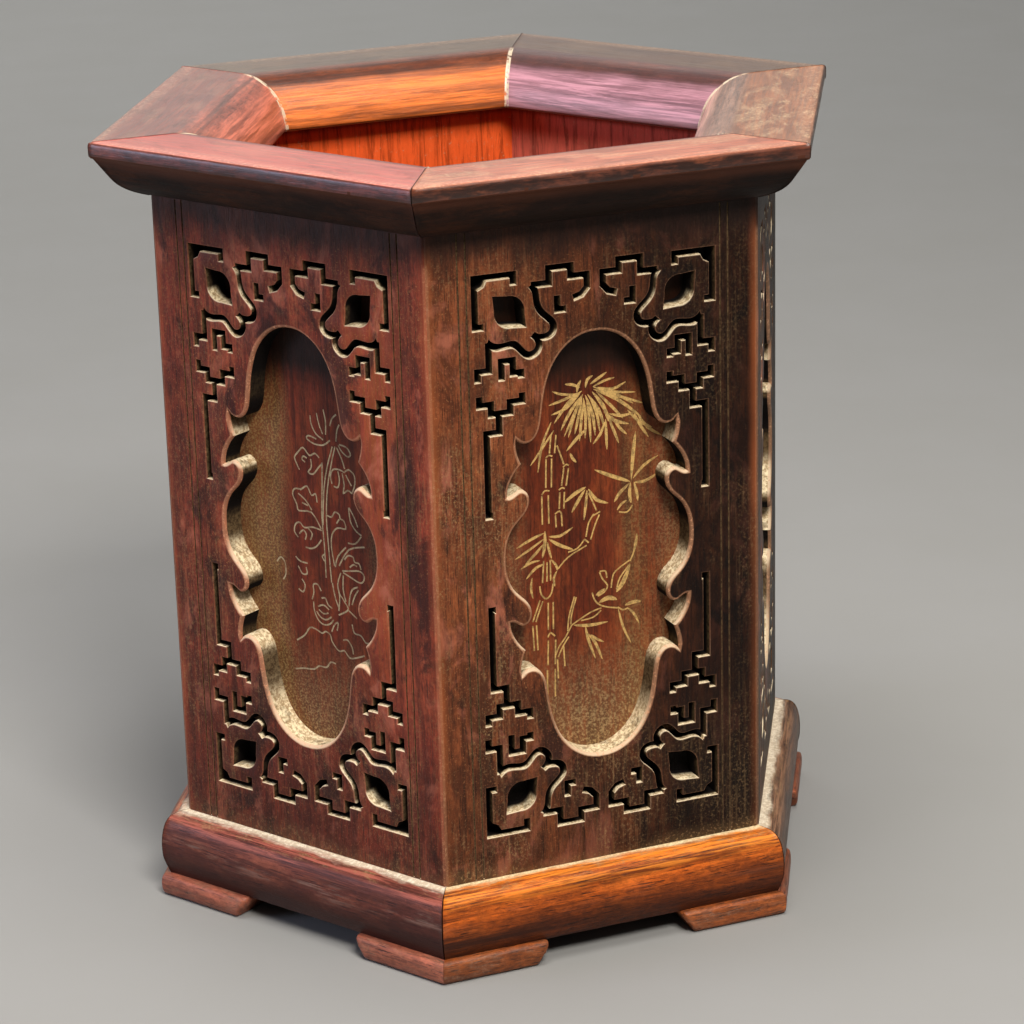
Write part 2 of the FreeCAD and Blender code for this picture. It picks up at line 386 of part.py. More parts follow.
def orchid():
    leaves = [(1.5, [(0, 58), (-6, 78), (-14, 92)]), (1.4, [(0, 58), (-4, 84), (-8, 108)]),
              (1.4, [(0.5, 58), (1, 86), (4, 114)]), (1.5, [(1, 58), (6, 84), (13, 103)]),
              (1.4, [(1, 58), (8, 72), (15, 78)]), (1.3, [(0, 58), (-8, 66), (-14, 72)])]
    stems = [(0, [(0.5, 60), (-1, 80), (-2, 97)]), (0, [(1, 60), (4, 78), (7, 90)])]
    ground = [(0, [(-11, 56), (-6, 58.5), (0, 57), (5, 58.5), (11, 56)])]
    return leaves + stems + ground + blossom(-2, 101, 3.6) + blossom(8, 93.5, 3.0) + blossom(-5, 91, 2.4)


def plum():
    wood = [[(-11, 56), (-7, 66), (-8, 76), (-2, 86), (0, 98), (6, 108), (7, 117)],
            [(-7, 56), (-4, 65), (-5, 74), (0.5, 84), (2.5, 96), (7, 105), (8, 117)],
            [(-1, 86), (-7, 94), (-9, 104)], [(2, 95), (8, 91), (13, 93)], [(-5, 74), (2, 73), (8, 78)],
            [(-2, 90), (-5, 98), (-4, 110)], [(4, 101), (1, 108), (2, 115)]]
    flowers = [(-9.5, 107, 2.6), (-5.5, 95, 2.3), (12.5, 96, 2.6), (6, 89, 2.2), (9.5, 80, 2.6),
               (-4, 113, 2.3),
               (3, 75.5, 2.1), (8, 110, 2.2)]
    return [(0, run) for run in wood] + [s for f in flowers for s in blossom(*f)]


def lotus():
    lines = stalk([(-2, 56), (-3, 76), (-5, 93)], 1.0) + stalk([(2, 56), (4, 80), (5, 103)], 1.0)
    leaf = [(0, [(-14, 94), (-12, 99), (-6, 102), (0, 100), (3, 95), (-1, 91), (-7, 90), (-12, 91)])]
    veins = [(0, [(-5, 94), (-5 + 7 * math.cos(t), 95.5 + 4.5 * math.sin(t))])
             for t in (0.2, 1.0, 1.8, 2.6, 3.4)]
    petals = [(2.0, [(5, 104), (5, 110), (5, 116)]), (1.8, [(4.4, 104), (2, 109), (1.4, 114)]),
              (1.8, [(5.6, 104), (8, 109), (8.8, 114)]), (1.7, [(4, 104), (0, 106), (-3, 110)]),
              (1.7, [(6, 104), (10, 106), (13, 110)])]
    bud = stalk([(9, 56), (11, 68), (11, 80)], 0.9) + [(2.6, [(11, 80), (10.8, 84), (11, 88)])]
    water = [(0, [(-13, c), (-8, c + 0.8), (-3, c), (3, c + 0.8), (9, c), (13, c + 0.6)]) for c in (58, 62)]
    return lines + leaf + veins + petals + bud + water


def pine():
    wood = [[(-9, 56), (-6, 70), (-8, 84), (-3, 98), (-4, 112)],
            [(-4, 56), (-2, 70), (-4, 83), (0, 97), (-1, 112)],
            [(-6, 84), (-10, 92), (-13, 94)], [(-2, 90), (5, 96), (10, 98)], [(-3, 74), (4, 78), (9, 78)],
            [(-3, 62), (-4, 66)], [(-5, 76), (-6, 80)], [(-2, 100), (-3, 105)]]
    fans = [(-12, 94), (10, 98), (9, 78), (-4, 112), (3, 106), (2, 92), (-10, 104)]
    return [(0, run) for run in wood] + [s for a, b in fans for s in needles(a, b, 5.2, 15, 165, 9)]


PICTURES = {"front": (1.2, -0.4, bamboo), "front_left": (0.9, 0.4, garden_flowers),
            "front_right": (0, 0, orchid), "back_right": (0, 0, plum), "back": (0, 0, lotus),
            "back_left": (0, 0, pine)}


# ---------------------------------------------------------------- rails, floor, feet and pegs
def make_rails():
    splines = {}
    for name, section, spec in (("rim", RIM, RIM_SPLINE), ("base", BASE, BASE_SPLINE)):
        tongue = spline_slot(*spec)
        slots = [turned(tongue, 30), turned(tongue, -30)]
        bar = rail(section).cut(slots)
        if name == "base":
            holes = [Part.makeCylinder(PEG_R, PEG_HOLE_TOP, V(PEG_OUT, s * PEG_ACROSS, 0)) for s in (-1, 1)]
            bar = bar.cut(holes)
        for side, angle in SIDES.items():
            save(f"{name}_rail_{side}", turned(bar, angle))
        for corner, angle in CORNERS.items():
            save(f"{name}_tongue_{corner}", turned(tongue, angle))


def make_floor():
    slab = hexagon(FLOOR_OUT, FLOOR_LOW, FLOOR_TOP)
    tongue = hexagon(FLOOR_TONGUE_OUT, FLOOR_TONGUE_LOW, FLOOR_TONGUE_TOP)
    save("floor_board", slab.fuse(tongue).removeSplitter())


def make_feet():
    bar = rail(FOOT)
    pegs = []
    for name, hand in (("r", 1), ("l", -1)):
        tip = [(FOOT_TIP_LOW - 0.35, 0.75), (FOOT_TIP_LOW - 0.05, 0.25), (FOOT_TIP_LOW + 0.6, 0.0)]
        rest = [tip[-1], (60, 0), (60, FOOT_HIGH), (FOOT_TIP_TOP, FOOT_HIGH), tip[0]]
        tip, rest = (on_wall([(hand * a, b) for a, b in run], 80.0) for run in (tip, rest))
        arm = bar.common(cutter([smooth(tip)] + straight(rest), 80.0, 40.0))
        arm = arm.cut(Part.makeCylinder(PEG_R, 20, V(PEG_OUT, hand * PEG_ACROSS, -1)))
        peg = Part.makeCylinder(PEG_R, PEG_TOP - PEG_LOW, V(PEG_OUT, hand * PEG_ACROSS, PEG_LOW))
        for side, angle in SIDES.items():
            save(f"foot_arm_{name}_{side}", turned(arm, angle))
            pegs.append(turned(peg, angle))
    save("foot_pegs", Part.makeCompound(pegs))


# ---------------------------------------------------------------- walls
def wall_skin(outer, inner):
    """One skin of a wall, with the tongue along its top and bottom edges."""
    body = box(inner, outer, -60, 60, WALL_LOW, RIM_LOW)
    tongue = box(max(inner, TONGUE_IN), min(outer, TONGUE_OUT), -60, 60,
                 WALL_LOW - TONGUE_LONG, RIM_LOW + TONGUE_LONG)
    return body.fuse(tongue).removeSplitter().common(wedge(0, HEIGHT))


def four_ways(points):
    """The quarter's points mirrored to all four quarters, as heights on the wall."""
    return [[(sa * a, PATTERN_MID + sb * b) for a, b in points] for sa in (-1, 1) for sb in (-1, 1)]


def opening():
    """The tall cusped opening in the middle of a fret panel."""
    edges = [smooth(on_wall(run, WALL_OUT + 1)) for quarter in OPENING for run in four_ways(quarter)]
    return cutter(Part.__sortEdges__(edges), WALL_OUT + 1, WALL_OUT + 2 - SKIN)


def fret_tools():
    front, deep = WALL_OUT + 1, WALL_OUT + 2 - SKIN
    tools = [opening()]
    for group, curved in ((STRAIGHT_CUTS, False), (CURVED_CUTS, True)):
        tools += [line_cut(run, KERF, front, deep, curved) for cut in group for run in four_ways(cut)]
    for run in four_ways(POCKET):
        tools.append(cutter(straight(on_wall(run + run[:1], front)), front, deep))
    for sa in (-1, 1):
        for sb in (-1, 1):
            a, b = sa * HOLE_ACROSS, PATTERN_MID + sb * HOLE_UP
            tools.append(Part.makeCylinder(HOLE_R, deep, V(front, a, b), V(-1, 0, 0)))
            for na, nb in HOLE_NICKS:
                da, db = sa * na * math.sqrt(0.5), sb * nb * math.sqrt(0.5)
                tip = (a + da * (HOLE_R + NICK_LONG), b + db * (HOLE_R + NICK_LONG))
                foot = [(a + da * NICK_ROOT - s * db * NICK_WIDE / 2,
                         b + db * NICK_ROOT + s * da * NICK_WIDE / 2) for s in (-1, 1)]
                ring = on_wall([foot[0], tip, foot[1], foot[0]], front)
                tools.append(cutter(straight(ring), front, deep))
    for a in BORDERS:
        for s in (-1, 1):
            tools.append(box(WALL_OUT - BORDER_DEEP, front, s * a - BORDER_WIDE / 2, s * a + BORDER_WIDE / 2,
                             WALL_LOW - 1, RIM_LOW + 1))
    return tools


def eased(points, steps=3):
    """The same line, rounded through its points."""
    if len(points) < 3:
        return points
    ends = [points[0]] + points + [points[-1]]
    line = []
    for p, q, r, s in zip(ends, ends[1:], ends[2:], ends[3:]):
        for t in (k / steps for k in range(steps)):
            line.append(tuple(0.5 * (2 * b + (c - a) * t + (2 * a - 5 * b + 4 * c - d) * t * t
                                     + (3 * b - a - 3 * c + d) * t ** 3) for a, b, c, d in zip(p, q, r, s)))
    return line + [points[-1]]


def engraving(off_across, off_up, picture):
    """Shallow cuts into a board's outer face, one for each stroke of its picture."""
    front, deep, tools = SKIN + 0.5, 0.5 + LINE_DEEP, []
    for wide, points in picture():
        line = eased([(a + off_across, b + off_up) for a, b in points])
        last = len(line) - 1
        widths = [0.15 + wide * math.sin(math.pi * i / last) ** 0.7 for i in range(last + 1)]
        runs = [(line, widths if wide else LINE_WIDE)]
        if not Part.Face(Part.makePolygon(ribbon(*runs[0], front))).isValid():     # it crosses itself
            runs = [(line[i:i + 4], widths[i:i + 4] if wide else LINE_WIDE) for i in range(0, last, 3)]
        tools += [line_cut(*run, front, deep) for run in runs]
    return tools


def make_walls():
    panel = wall_skin(WALL_OUT, SKIN).cut(fret_tools())
    assert len(panel.Solids) == 1, "the fretwork has cut the panel apart"
    plain = wall_skin(SKIN, WALL_IN)
    for side, angle in SIDES.items():
        save(f"fret_panel_{side}", turned(panel, angle))
        save(f"inner_board_{side}", turned(plain.cut(engraving(*PICTURES[side])), angle))


make_rails()
make_floor()
make_feet()
make_walls()
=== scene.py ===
"""Looks of the hexagonal hardwood brush pot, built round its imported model. Metres, +Z up."""
import math

import bmesh
import bpy
import numpy as np
from mathutils import Matrix, Vector, geometry, noise


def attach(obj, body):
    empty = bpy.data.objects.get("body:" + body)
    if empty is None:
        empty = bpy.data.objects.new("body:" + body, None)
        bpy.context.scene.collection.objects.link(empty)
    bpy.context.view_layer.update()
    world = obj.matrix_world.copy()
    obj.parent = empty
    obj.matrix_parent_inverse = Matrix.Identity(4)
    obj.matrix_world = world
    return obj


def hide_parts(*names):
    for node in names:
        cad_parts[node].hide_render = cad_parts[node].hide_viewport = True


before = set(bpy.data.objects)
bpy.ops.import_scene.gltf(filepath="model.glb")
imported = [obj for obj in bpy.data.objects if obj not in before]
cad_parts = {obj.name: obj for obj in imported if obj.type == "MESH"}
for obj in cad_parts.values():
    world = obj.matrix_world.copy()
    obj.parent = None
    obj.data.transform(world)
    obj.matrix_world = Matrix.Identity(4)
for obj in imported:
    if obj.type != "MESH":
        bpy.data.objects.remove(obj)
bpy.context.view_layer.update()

# The mesh helpers and profiles are in millimetres. Each wall is drawn facing +X: x is the distance from
# the pot's axis, y runs across the wall and z is the height.
MM = 0.001
TAN30 = math.tan(math.radians(30))
SIDES = {"front": -90, "front_left": -150, "back_left": 150, "back": 90, "back_right": 30,
         "front_right": -30}
CORNERS = ("front_left", "left", "back_left", "back_right", "right", "front_right")
WALL_OUT, SKIN = 61.0, 55.9                        # a fret panel's face and back
WALL_LOW, RIM_LOW, HEIGHT = 18.8, 153.2, 165.0     # foot of the walls, underside and top of the rim


# ------------------------------------------------------------------ mesh helpers
def turn(degrees):
    return Matrix.Rotation(math.radians(degrees), 4, "Z")


def add_object(name, mesh, angle, replaces=()):
    """A piece whose mesh is drawn for the wall that faces +X, turned to its own side."""
    obj = bpy.data.objects.new(name, mesh)
    bpy.context.scene.collection.objects.link(obj)
    obj.matrix_world = turn(angle)
    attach(obj, "root")
    if replaces:
        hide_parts(*replaces)
    return obj


def mesh_from(name, verts, faces, sharp_deg, **values):
    """A mesh, smooth except where faces meet at more than sharp_deg; values are numbers for each point."""
    mesh = bpy.data.meshes.new(name)
    mesh.from_pydata([(x * MM, y * MM, z * MM) for x, y, z in verts], [], faces)
    bm = bmesh.new()
    bm.from_mesh(mesh)
    bmesh.ops.recalc_face_normals(bm, faces=bm.faces)
    for face in bm.faces:
        face.smooth = True
    limit = math.radians(sharp_deg)
    for edge in bm.edges:
        if len(edge.link_faces) == 2:
            edge.smooth = edge.calc_face_angle(0.0) < limit
    bm.to_mesh(mesh)
    bm.free()
    for key, numbers in values.items():
        attribute = mesh.attributes.new(key, "FLOAT", "POINT")
        attribute.data.foreach_set("value", np.asarray(numbers, np.float32))
    return mesh


def eased(points, steps=4):
    """A smooth line through the points (Catmull-Rom), as a denser list."""
    ends = [points[0]] + list(points) + [points[-1]]
    line = []
    for p, q, r, s in zip(ends, ends[1:], ends[2:], ends[3:]):
        for t in (k / steps for k in range(steps)):
            line.append(tuple(0.5 * (2 * b + (c - a) * t + (2 * a - 5 * b + 4 * c - d) * t * t
                                     + (3 * b - a - 3 * c + d) * t ** 3) for a, b, c, d in zip(p, q, r, s)))
    return line + [tuple(points[-1])]


def dense(points, step):
    """Straight runs cut into pieces no longer than step."""
    out = [points[0]]
    for a, b in zip(points, points[1:]):
        n = max(1, math.ceil(math.dist(a, b) / step))
        out += [tuple(a[i] + (b[i] - a[i]) * k / n for i in range(2)) for k in range(1, n + 1)]
    return out


def wobble(x, y, z, scale, seed):
    """A smooth random number from -1 to 1."""
    return noise.noise(Vector((x * scale + seed * 7.31, y * scale - seed * 3.17, z * scale + seed * 1.73)))


def local_mesh(node, angle):
    """A CAD node's points in millimetres, turned back so that its wall faces +X, and its faces."""
    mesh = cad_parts[node].data
    co = np.empty(len(mesh.vertices) * 3)
    mesh.vertices.foreach_get("co", co)
    co = co.reshape(-1, 3) / MM
    c, s = math.cos(math.radians(angle)), math.sin(math.radians(angle))
    turned = np.stack([co[:, 0] * c + co[:, 1] * s, -co[:, 0] * s + co[:, 1] * c, co[:, 2]], 1)
    seen, keep, points = {}, [], []
    for p in turned:
        key = tuple(np.round(p, 3))
        if key not in seen:
            seen[key] = len(points)
            points.append(tuple(p))
        keep.append(seen[key])
    faces = [tuple(keep[i] for i in f.vertices) for f in mesh.polygons]
    return points, [f for f in faces if len(set(f)) == len(f)]


def level_faces(points, faces, level, tolerance=0.02):
    """The outward faces that lie at this distance from the pot's axis."""
    out = []
    for face in faces:
        if all(abs(points[i][0] - level) < tolerance for i in face):
            (a, b), (c, d), (e, f) = (points[i][1:] for i in face[:3])
            if (c - a) * (f - b) - (e - a) * (d - b) > 0:
                out.append(face)
    return out


def border_loops(faces):
    """The outlines of a set of faces, material on the left."""
    edges = {(a, b) for f in faces for a, b in zip(f, f[1:] + f[:1])}
    follow = {}
    for a, b in edges:
        if (b, a) not in edges:
            follow.setdefault(a, []).append(b)
    loops = []
    while follow:
        loop, here = [], next(iter(follow))
        while here in follow:
            loop.append(here)
            after = follow[here].pop()
            if not follow[here]:
                del follow[here]
            here = after
        loops.append(loop)
    return loops


def thinned(loop, clear=0.012, slight=0.003, apart=0.35, longest=2.5):
    """The same outline without the points that lie on a straight or nearly straight run."""
    kept = [loop[0]]
    for i in range(1, len(loop)):
        a, b, c = kept[-1], loop[i], loop[(i + 1) % len(loop)]
        span = math.dist(a, c) or 1e-9
        off = abs((c[0] - a[0]) * (b[1] - a[1]) - (c[1] - a[1]) * (b[0] - a[0])) / span
        if off > clear or (math.dist(a, b) > apart and off > slight) or math.dist(a, c) > longest:
            kept.append(b)
    return kept


def area(loop):
    return 0.5 * sum(a[0] * b[1] - b[0] * a[1] for a, b in zip(loop, loop[1:] + loop[:1]))


def ways_in(loop, sharpest=0.42):
    """For each point of an outline, the way into the material for an offset of one."""
    out = []
    for i, (c, d) in enumerate(loop):
        (a, b), (e, f) = loop[i - 1], loop[(i + 1) % len(loop)]
        l1, l2 = math.hypot(c - a, d - b) or 1e-9, math.hypot(e - c, f - d) or 1e-9
        n1, n2 = (-(d - b) / l1, (c - a) / l1), (-(f - d) / l2, (e - c) / l2)
        k = 1.0 / max(sharpest, 1 + n1[0] * n2[0] + n1[1] * n2[1])
        out.append(((n1[0] + n2[0]) * k, (n1[1] + n2[1]) * k))
    return out


def filled(loops):
    """Triangles that fill the region bounded by these outlines, as indices into all their points."""
    points = [Vector(p) for loop in loops for p in loop]
    edges, base = [], 0
    for loop in loops:
        edges += [(base + i, base + (i + 1) % len(loop)) for i in range(len(loop))]
        base += len(loop)
    verts, _, triangles, origin, _, _ = geometry.delaunay_2d_cdt(points, edges, [], 0, 1e-7)
    mids = np.array([[sum(verts[i][k] for i in t) / 3 for k in (0, 1)] for t in triangles])
    inside = np.zeros(len(triangles), bool)
    for loop in loops:
        for (x0, y0), (x1, y1) in zip(loop, loop[1:] + loop[:1]):
            if y0 != y1:
                crossed = (mids[:, 1] > y0) != (mids[:, 1] > y1)
                inside ^= crossed & (mids[:, 0] < (x1 - x0) * (mids[:, 1] - y0) / (y1 - y0) + x0)
    kept = [t for t, ok in zip(triangles, inside) if ok and all(origin[i] for i in t)]
    return [tuple(origin[i][0] for i in t) for t in kept]


def tube_faces(around, along):
    """Faces of a swept solid: `along` rings of `around` points each, joined up and closed at both ends."""
    faces = []
    for k in range(along - 1):
        for i in range(around):
            j = (i + 1) % around
            faces.append((k * around + i, k * around + j, (k + 1) * around + j, (k + 1) * around + i))
    last = (along - 1) * around
    return faces + [tuple(reversed(range(around))), tuple(range(last, last + around))]


# ------------------------------------------------------------------ fret panels
SAW_ARRIS, OPENING_ARRIS, CORNER_ARRIS, SCRIBE_ARRIS = 0.27, 0.75, 0.75, 0.05
OPENING_TALL = 60.0                                # only the opening is taller than this
BORDERS, BORDER_WIDE, BORDER_DEEP, BORDER_SHORT = (26.9, 28.6), 0.3, 0.2, 0.3
PANEL_GAP, EDGE_STEP = 0.02, 3.0
RAIL_SHARE = 0.1                                   # of an arris, where a panel meets the rim or the base
NARROW, WIDE = 1.5, 11.5                           # mean widths of a saw cut and of the opening


class Shell:
    """The points and faces of a panel's skin, with the numbers that its materials read."""

    def __init__(self):
        self.verts, self.faces = [], []
        self.values = {"arris": [], "cut": [], "wide": []}

    def ring(self, loop, ins, out, off=0.0, **values):
        """An outline's points at distance `out` from the pot's axis, drawn `off` into the material."""
        first = len(self.verts)
        for (a, b), (da, db) in zip(loop, ins):
            self.verts.append((out, a + da * off, b + db * off))
            for key, numbers in self.values.items():
                numbers.append(values.get(key, 0.0))
        return list(range(first, len(self.verts)))

    def join(self, upper, lower):
        n = len(upper)
        self.faces.extend((upper[i], lower[i], lower[(i + 1) % n], upper[(i + 1) % n]) for i in range(n))

    def fill(self, rings, backwards=False):
        """Flat faces between rings that lie in one plane."""
        index = [i for ring in rings for i in ring]
        for corners in filled([[self.verts[i][1:] for i in ring] for ring in rings]):
            face = tuple(index[k] for k in corners)
            self.faces.append(face[::-1] if backwards else face)

    def round_over(self, loop, ins, radius, wide):
        """Rings that carry an arris from the face of the panel over into the wall of a cut."""
        steps = 5 if radius > 0.5 else 2
        rings = []
        for k in range(steps + 1):
            t = math.pi / 2 * k / steps
            down, off = radius * (1 - math.cos(t)), radius * (1 - math.sin(t))
            rings.append(self.ring(loop, ins, WALL_OUT - down, off, arris=float(k > 0), cut=float(k == steps),
                                   wide=wide))
        for upper, lower in zip(rings, rings[1:]):
            self.join(upper, lower)
        return rings[0], rings[-1]


def panel_outlines(side, angle):
    """The outlines on a panel's face: its edge, all that is sawn through it, and the scribed border lines."""
    points, faces = local_mesh(f"fret_panel_{side}", angle)
    rings = [[points[i][1:] for i in loop] for loop in border_loops(level_faces(points, faces, WALL_OUT))]
    holes = [thinned(r) for r in rings if area(r) < 0 and max(abs(p[0]) for p in r) < BORDERS[0] - 0.5]
    half = WALL_OUT * TAN30 - PANEL_GAP
    edge = dense([(-half, WALL_LOW), (half, WALL_LOW), (half, RIM_LOW), (-half, RIM_LOW), (-half, WALL_LOW)],
                 EDGE_STEP)[:-1]
    low, high = WALL_LOW + BORDER_SHORT, RIM_LOW - BORDER_SHORT
    outlines = [("edge", edge)] + [("hole", hole) for hole in holes]
    for middle in (hand * border for border in BORDERS for hand in (-1, 1)):
        left, right = middle - BORDER_WIDE / 2, middle + BORDER_WIDE / 2
        outlines.append(("scribe", [(left, low), (left, high), (right, high), (right, low)]))
    return outlines


def ways_in_from_edge(edge):
    """For each point of a panel's edge, the way in: full at the corners, slight along the rails."""
    half, near = max(a for a, _ in edge), 1e-6
    ins = []
    for a, b in edge:
        across = -math.copysign(1, a) if abs(a) > half - near else 0.0
        up = (b < WALL_LOW + near) - (b > RIM_LOW - near)
        ins.append((across, RAIL_SHARE * up))
    return ins


def breadth(hole):
    """Nothing for a saw cut, up to one for the tall opening."""
    around = sum(math.dist(a, b) for a, b in zip(hole, hole[1:] + hole[:1]))
    return min(1.0, max(0.0, (2 * abs(area(hole)) / around - NARROW) / (WIDE - NARROW)))


def arris_radius(kind, loop):
    if kind == "hole":
        tall = max(p[1] for p in loop) - min(p[1] for p in loop)
        return OPENING_ARRIS if tall > OPENING_TALL else SAW_ARRIS
    return CORNER_ARRIS if kind == "edge" else SCRIBE_ARRIS


def fret_panel(side, angle):
    """The outer skin of a wall, with rounded arrises on its edge and on all that is sawn through it."""
    shell, fronts, backs = Shell(), [], []
    for kind, loop in panel_outlines(side, angle):
        ins = ways_in_from_edge(loop) if kind == "edge" else ways_in(loop)
        wide = breadth(loop) if kind == "hole" else 0.0
        front, wall = shell.round_over(loop, ins, arris_radius(kind, loop), wide)
        fronts.append(front)
        if kind == "scribe":
            floor = shell.ring(loop, ins, WALL_OUT - BORDER_DEEP, cut=1.0)
            shell.join(wall, floor)
            shell.faces.append(tuple(floor))
            continue
        if kind == "edge":
            loop = [(a * SKIN / WALL_OUT, b) for a, b in loop]
        back = shell.ring(loop, ins, SKIN, cut=1.0, wide=wide)
        shell.join(wall, back)
        backs.append(back)
    shell.fill(fronts)
    shell.fill(backs, True)
    name = f"fret_panel_{side}"
    mesh = mesh_from(name + "_look", shell.verts, shell.faces, 38.0, **shell.values)
    for face in mesh.polygons:
        sawn = all(shell.values["cut"][i] for i in face.vertices)
        face.material_index = int(sawn and abs(face.center[1]) < 30 * MM)
    return add_object(name + "_look", mesh, angle, [name])


# ------------------------------------------------------------------ mouldings
RAIL_STEP, RAIL_WAVE, MITRE_GAP = 0.8, 0.05, 0.03
MITRE_BEVEL, MITRE_SUNK, SEAM_WIDE = 0.28, 0.14, 1.2
RIM_NICKS, BASE_NICKS = 0.12, 0.08
RIM_PROFILE = (
    dense([(56.5, HEIGHT), (70.7, HEIGHT)], 1.6)[:-1]
    + eased([(70.7, HEIGHT), (71.3, 164.8), (71.5, 164.3)], 3)
    + [(71.5, 163.6), (71.5, 162.9), (71.45, 162.3), (71.2, 161.95)]
    + eased([(70.8, 161.8), (68.8, 158.8), (67.5, 156.9), (66.2, 155.6), (64.5, 154.5), (62.7, 153.7),
             (61.3, RIM_LOW)], 3)[:-1]
    + dense([(61.3, RIM_LOW), (45.9, RIM_LOW)], 3.0)[:-1]
    + eased([(45.9, RIM_LOW), (45.25, 153.6), (45.2, 154.4), (45.6, 156.2), (46.3, 158.3), (47.4, 160.4),
             (49.3, 162.5), (51.9, 164.1), (54.2, 164.8), (56.5, HEIGHT)], 3)[:-1]
)
BASE_PROFILE = (
    eased([(61.0, WALL_LOW), (63.5, 18.4), (65.0, 17.4), (65.9, 15.5), (66.4, 12.3), (66.3, 9.0), (65.7, 6.8),
           (65.0, 5.0)], 4)[:-1]
    + dense([(65.0, 5.0), (51.35, 5.0), (51.35, WALL_LOW), (61.0, WALL_LOW)], 2.6)[:-1]
)
FOOT_PROFILE = (
    dense([(65.9, 5.0), (54.0, 5.0), (54.0, 0.4)], 2.4)[:-1]
    + [(54.0, 0.4), (54.25, 0.1), (54.6, 0.0)]
    + dense([(54.6, 0.0), (65.4, 0.0)], 2.4)[1:]
    + eased([(65.4, 0.0), (66.3, 0.3), (66.8, 1.0), (67.0, 2.5), (66.9, 3.9), (66.6, 4.65),
             (65.9, 5.0)], 3)[1:-1]
)


def bends(profile):
    """For each point of a closed profile, the way out of it and how sharply it bends there."""
    out = []
    for i, (c, d) in enumerate(profile):
        (a, b), (e, f) = profile[i - 1], profile[(i + 1) % len(profile)]
        l1, l2 = math.hypot(c - a, d - b), math.hypot(e - c, f - d)
        nx, nz = (d - b) / l1 + (f - d) / l2, -(c - a) / l1 - (e - c) / l2
        k = math.hypot(nx, nz) or 1.0
        out.append((nx / k, nz / k, 1 - ((c - a) * (e - c) + (d - b) * (f - d)) / (l1 * l2)))
    return out


def rail(node, profile, angle, seed, nicks):
    """A mitred length of moulding whose arrises are a little worn."""
    n, half = len(profile), max(p for p, _ in profile) * TAN30
    count, near = int(2 * half / RAIL_STEP), 1 - MITRE_BEVEL / half
    stations = [-1] + [near * (-1 + 2 * k / count) for k in range(count + 1)] + [1]
    out = bends(profile)
    worn = [min(1.0, 3.0 * max(out[(i + j) % n][2] for j in (-1, 0, 1))) for i in range(n)]
    verts, seam = [], []
    for t in stations:
        for (p, z), (nx, nz, _), wear_here in zip(profile, out, worn):
            u = t * (p * TAN30 - MITRE_GAP)
            d = RAIL_WAVE * wobble(p, u, z, 0.06, seed)
            d -= nicks * wear_here * max(0.0, wobble(p, u, z, 0.33, seed + 5) - 0.15) * 2.0
            d -= MITRE_SUNK if abs(t) == 1 else 0.0
            verts.append((p + nx * d, u, z + nz * d))
            seam.append(max(0.0, 1.0 - (1 - abs(t)) * p * TAN30 / SEAM_WIDE))
    mesh = mesh_from(node + "_look", verts, tube_faces(n, len(stations)), 50.0,
                     arris=worn * len(stations), seam=seam)
    for face in mesh.polygons:
        hollow = face.center[2] > 150 * MM and face.center[0] > 55 * MM and face.normal[2] < -0.1
        face.material_index = int(hollow)
    return add_object(node + "_look", mesh, angle, [node])


FOOT_TALL, FOOT_STEPS, FOOT_MIDDLE = 5.0, 22, (60.5, 2.5)
SOLE_TIP, TOP_TIP = 17.5, 15.0                     # how far from the middle of its side an arm ends
SOFT_TIP = ((0.75, 0.0), (0.32, 0.18), (0.08, 0.45), (0.0, 0.85))      # (drawn in, distance from the tip)


def drawn_in(value, middle, inset):
    return value - math.copysign(min(inset, abs(value - middle)), value - middle)


def foot_arm(side, angle, hand, seed):
    """One arm of a bracket foot: rounded outside, mitred at the corner, slanted and softened at its tip."""
    softened = SOFT_TIP[-1][1]
    runs = [(inset, far, 0.0) for inset, far in SOFT_TIP]
    runs += [(0.0, softened, k / FOOT_STEPS) for k in range(1, FOOT_STEPS + 1)]
    verts, arris = [], []
    for inset, far, share in runs:
        for p, z in FOOT_PROFILE:
            tip = SOLE_TIP - (SOLE_TIP - TOP_TIP) * z / FOOT_TALL
            full = p * TAN30 - MITRE_GAP
            u = tip + far + (full - tip - far) * share
            d = 0.08 * wobble(p, u * hand, z, 0.22, seed)
            a, b = drawn_in(p, FOOT_MIDDLE[0], inset), drawn_in(z, FOOT_MIDDLE[1], inset * 0.8)
            verts.append((a + d, hand * u, max(b + d * 0.5, 0.0)))
            arris.append(float(inset > 0.05 or (z < 0.5 and p > 65)))
    name = f"foot_arm_{'r' if hand > 0 else 'l'}_{side}"
    mesh = mesh_from(name + "_look", verts, tube_faces(len(FOOT_PROFILE), len(runs)), 50.0, arris=arris)
    return add_object(name + "_look", mesh, angle, [name])


# ------------------------------------------------------------------ gold in the engraved lines
GROOVE_FLOOR, GOLD_LOW, GOLD_TOP = SKIN - 0.35, SKIN - 0.34, SKIN - 0.05


def gold_lines(side, angle):
    """Pigment that fills the engraved lines of a board to just under its face."""
    points, faces = local_mesh(f"inner_board_{side}", angle)
    floor = level_faces(points, faces, GROOVE_FLOOR)
    used = sorted({i for f in floor for i in f})
    at = {i: k for k, i in enumerate(used)}
    n = len(used)
    verts = [(level, points[i][1], points[i][2]) for level in (GOLD_TOP, GOLD_LOW) for i in used]
    out = [tuple(at[i] for i in f) for f in floor] + [tuple(at[i] + n for i in reversed(f)) for f in floor]
    edges = {(a, b) for f in floor for a, b in zip(f, f[1:] + f[:1])}
    out += [(at[a], at[a] + n, at[b] + n, at[b]) for a, b in edges if (b, a) not in edges]
    mesh = mesh_from(f"gold_lines_{side}", verts, out, 30.0)
    return add_object(f"gold_lines_{side}", mesh, angle)


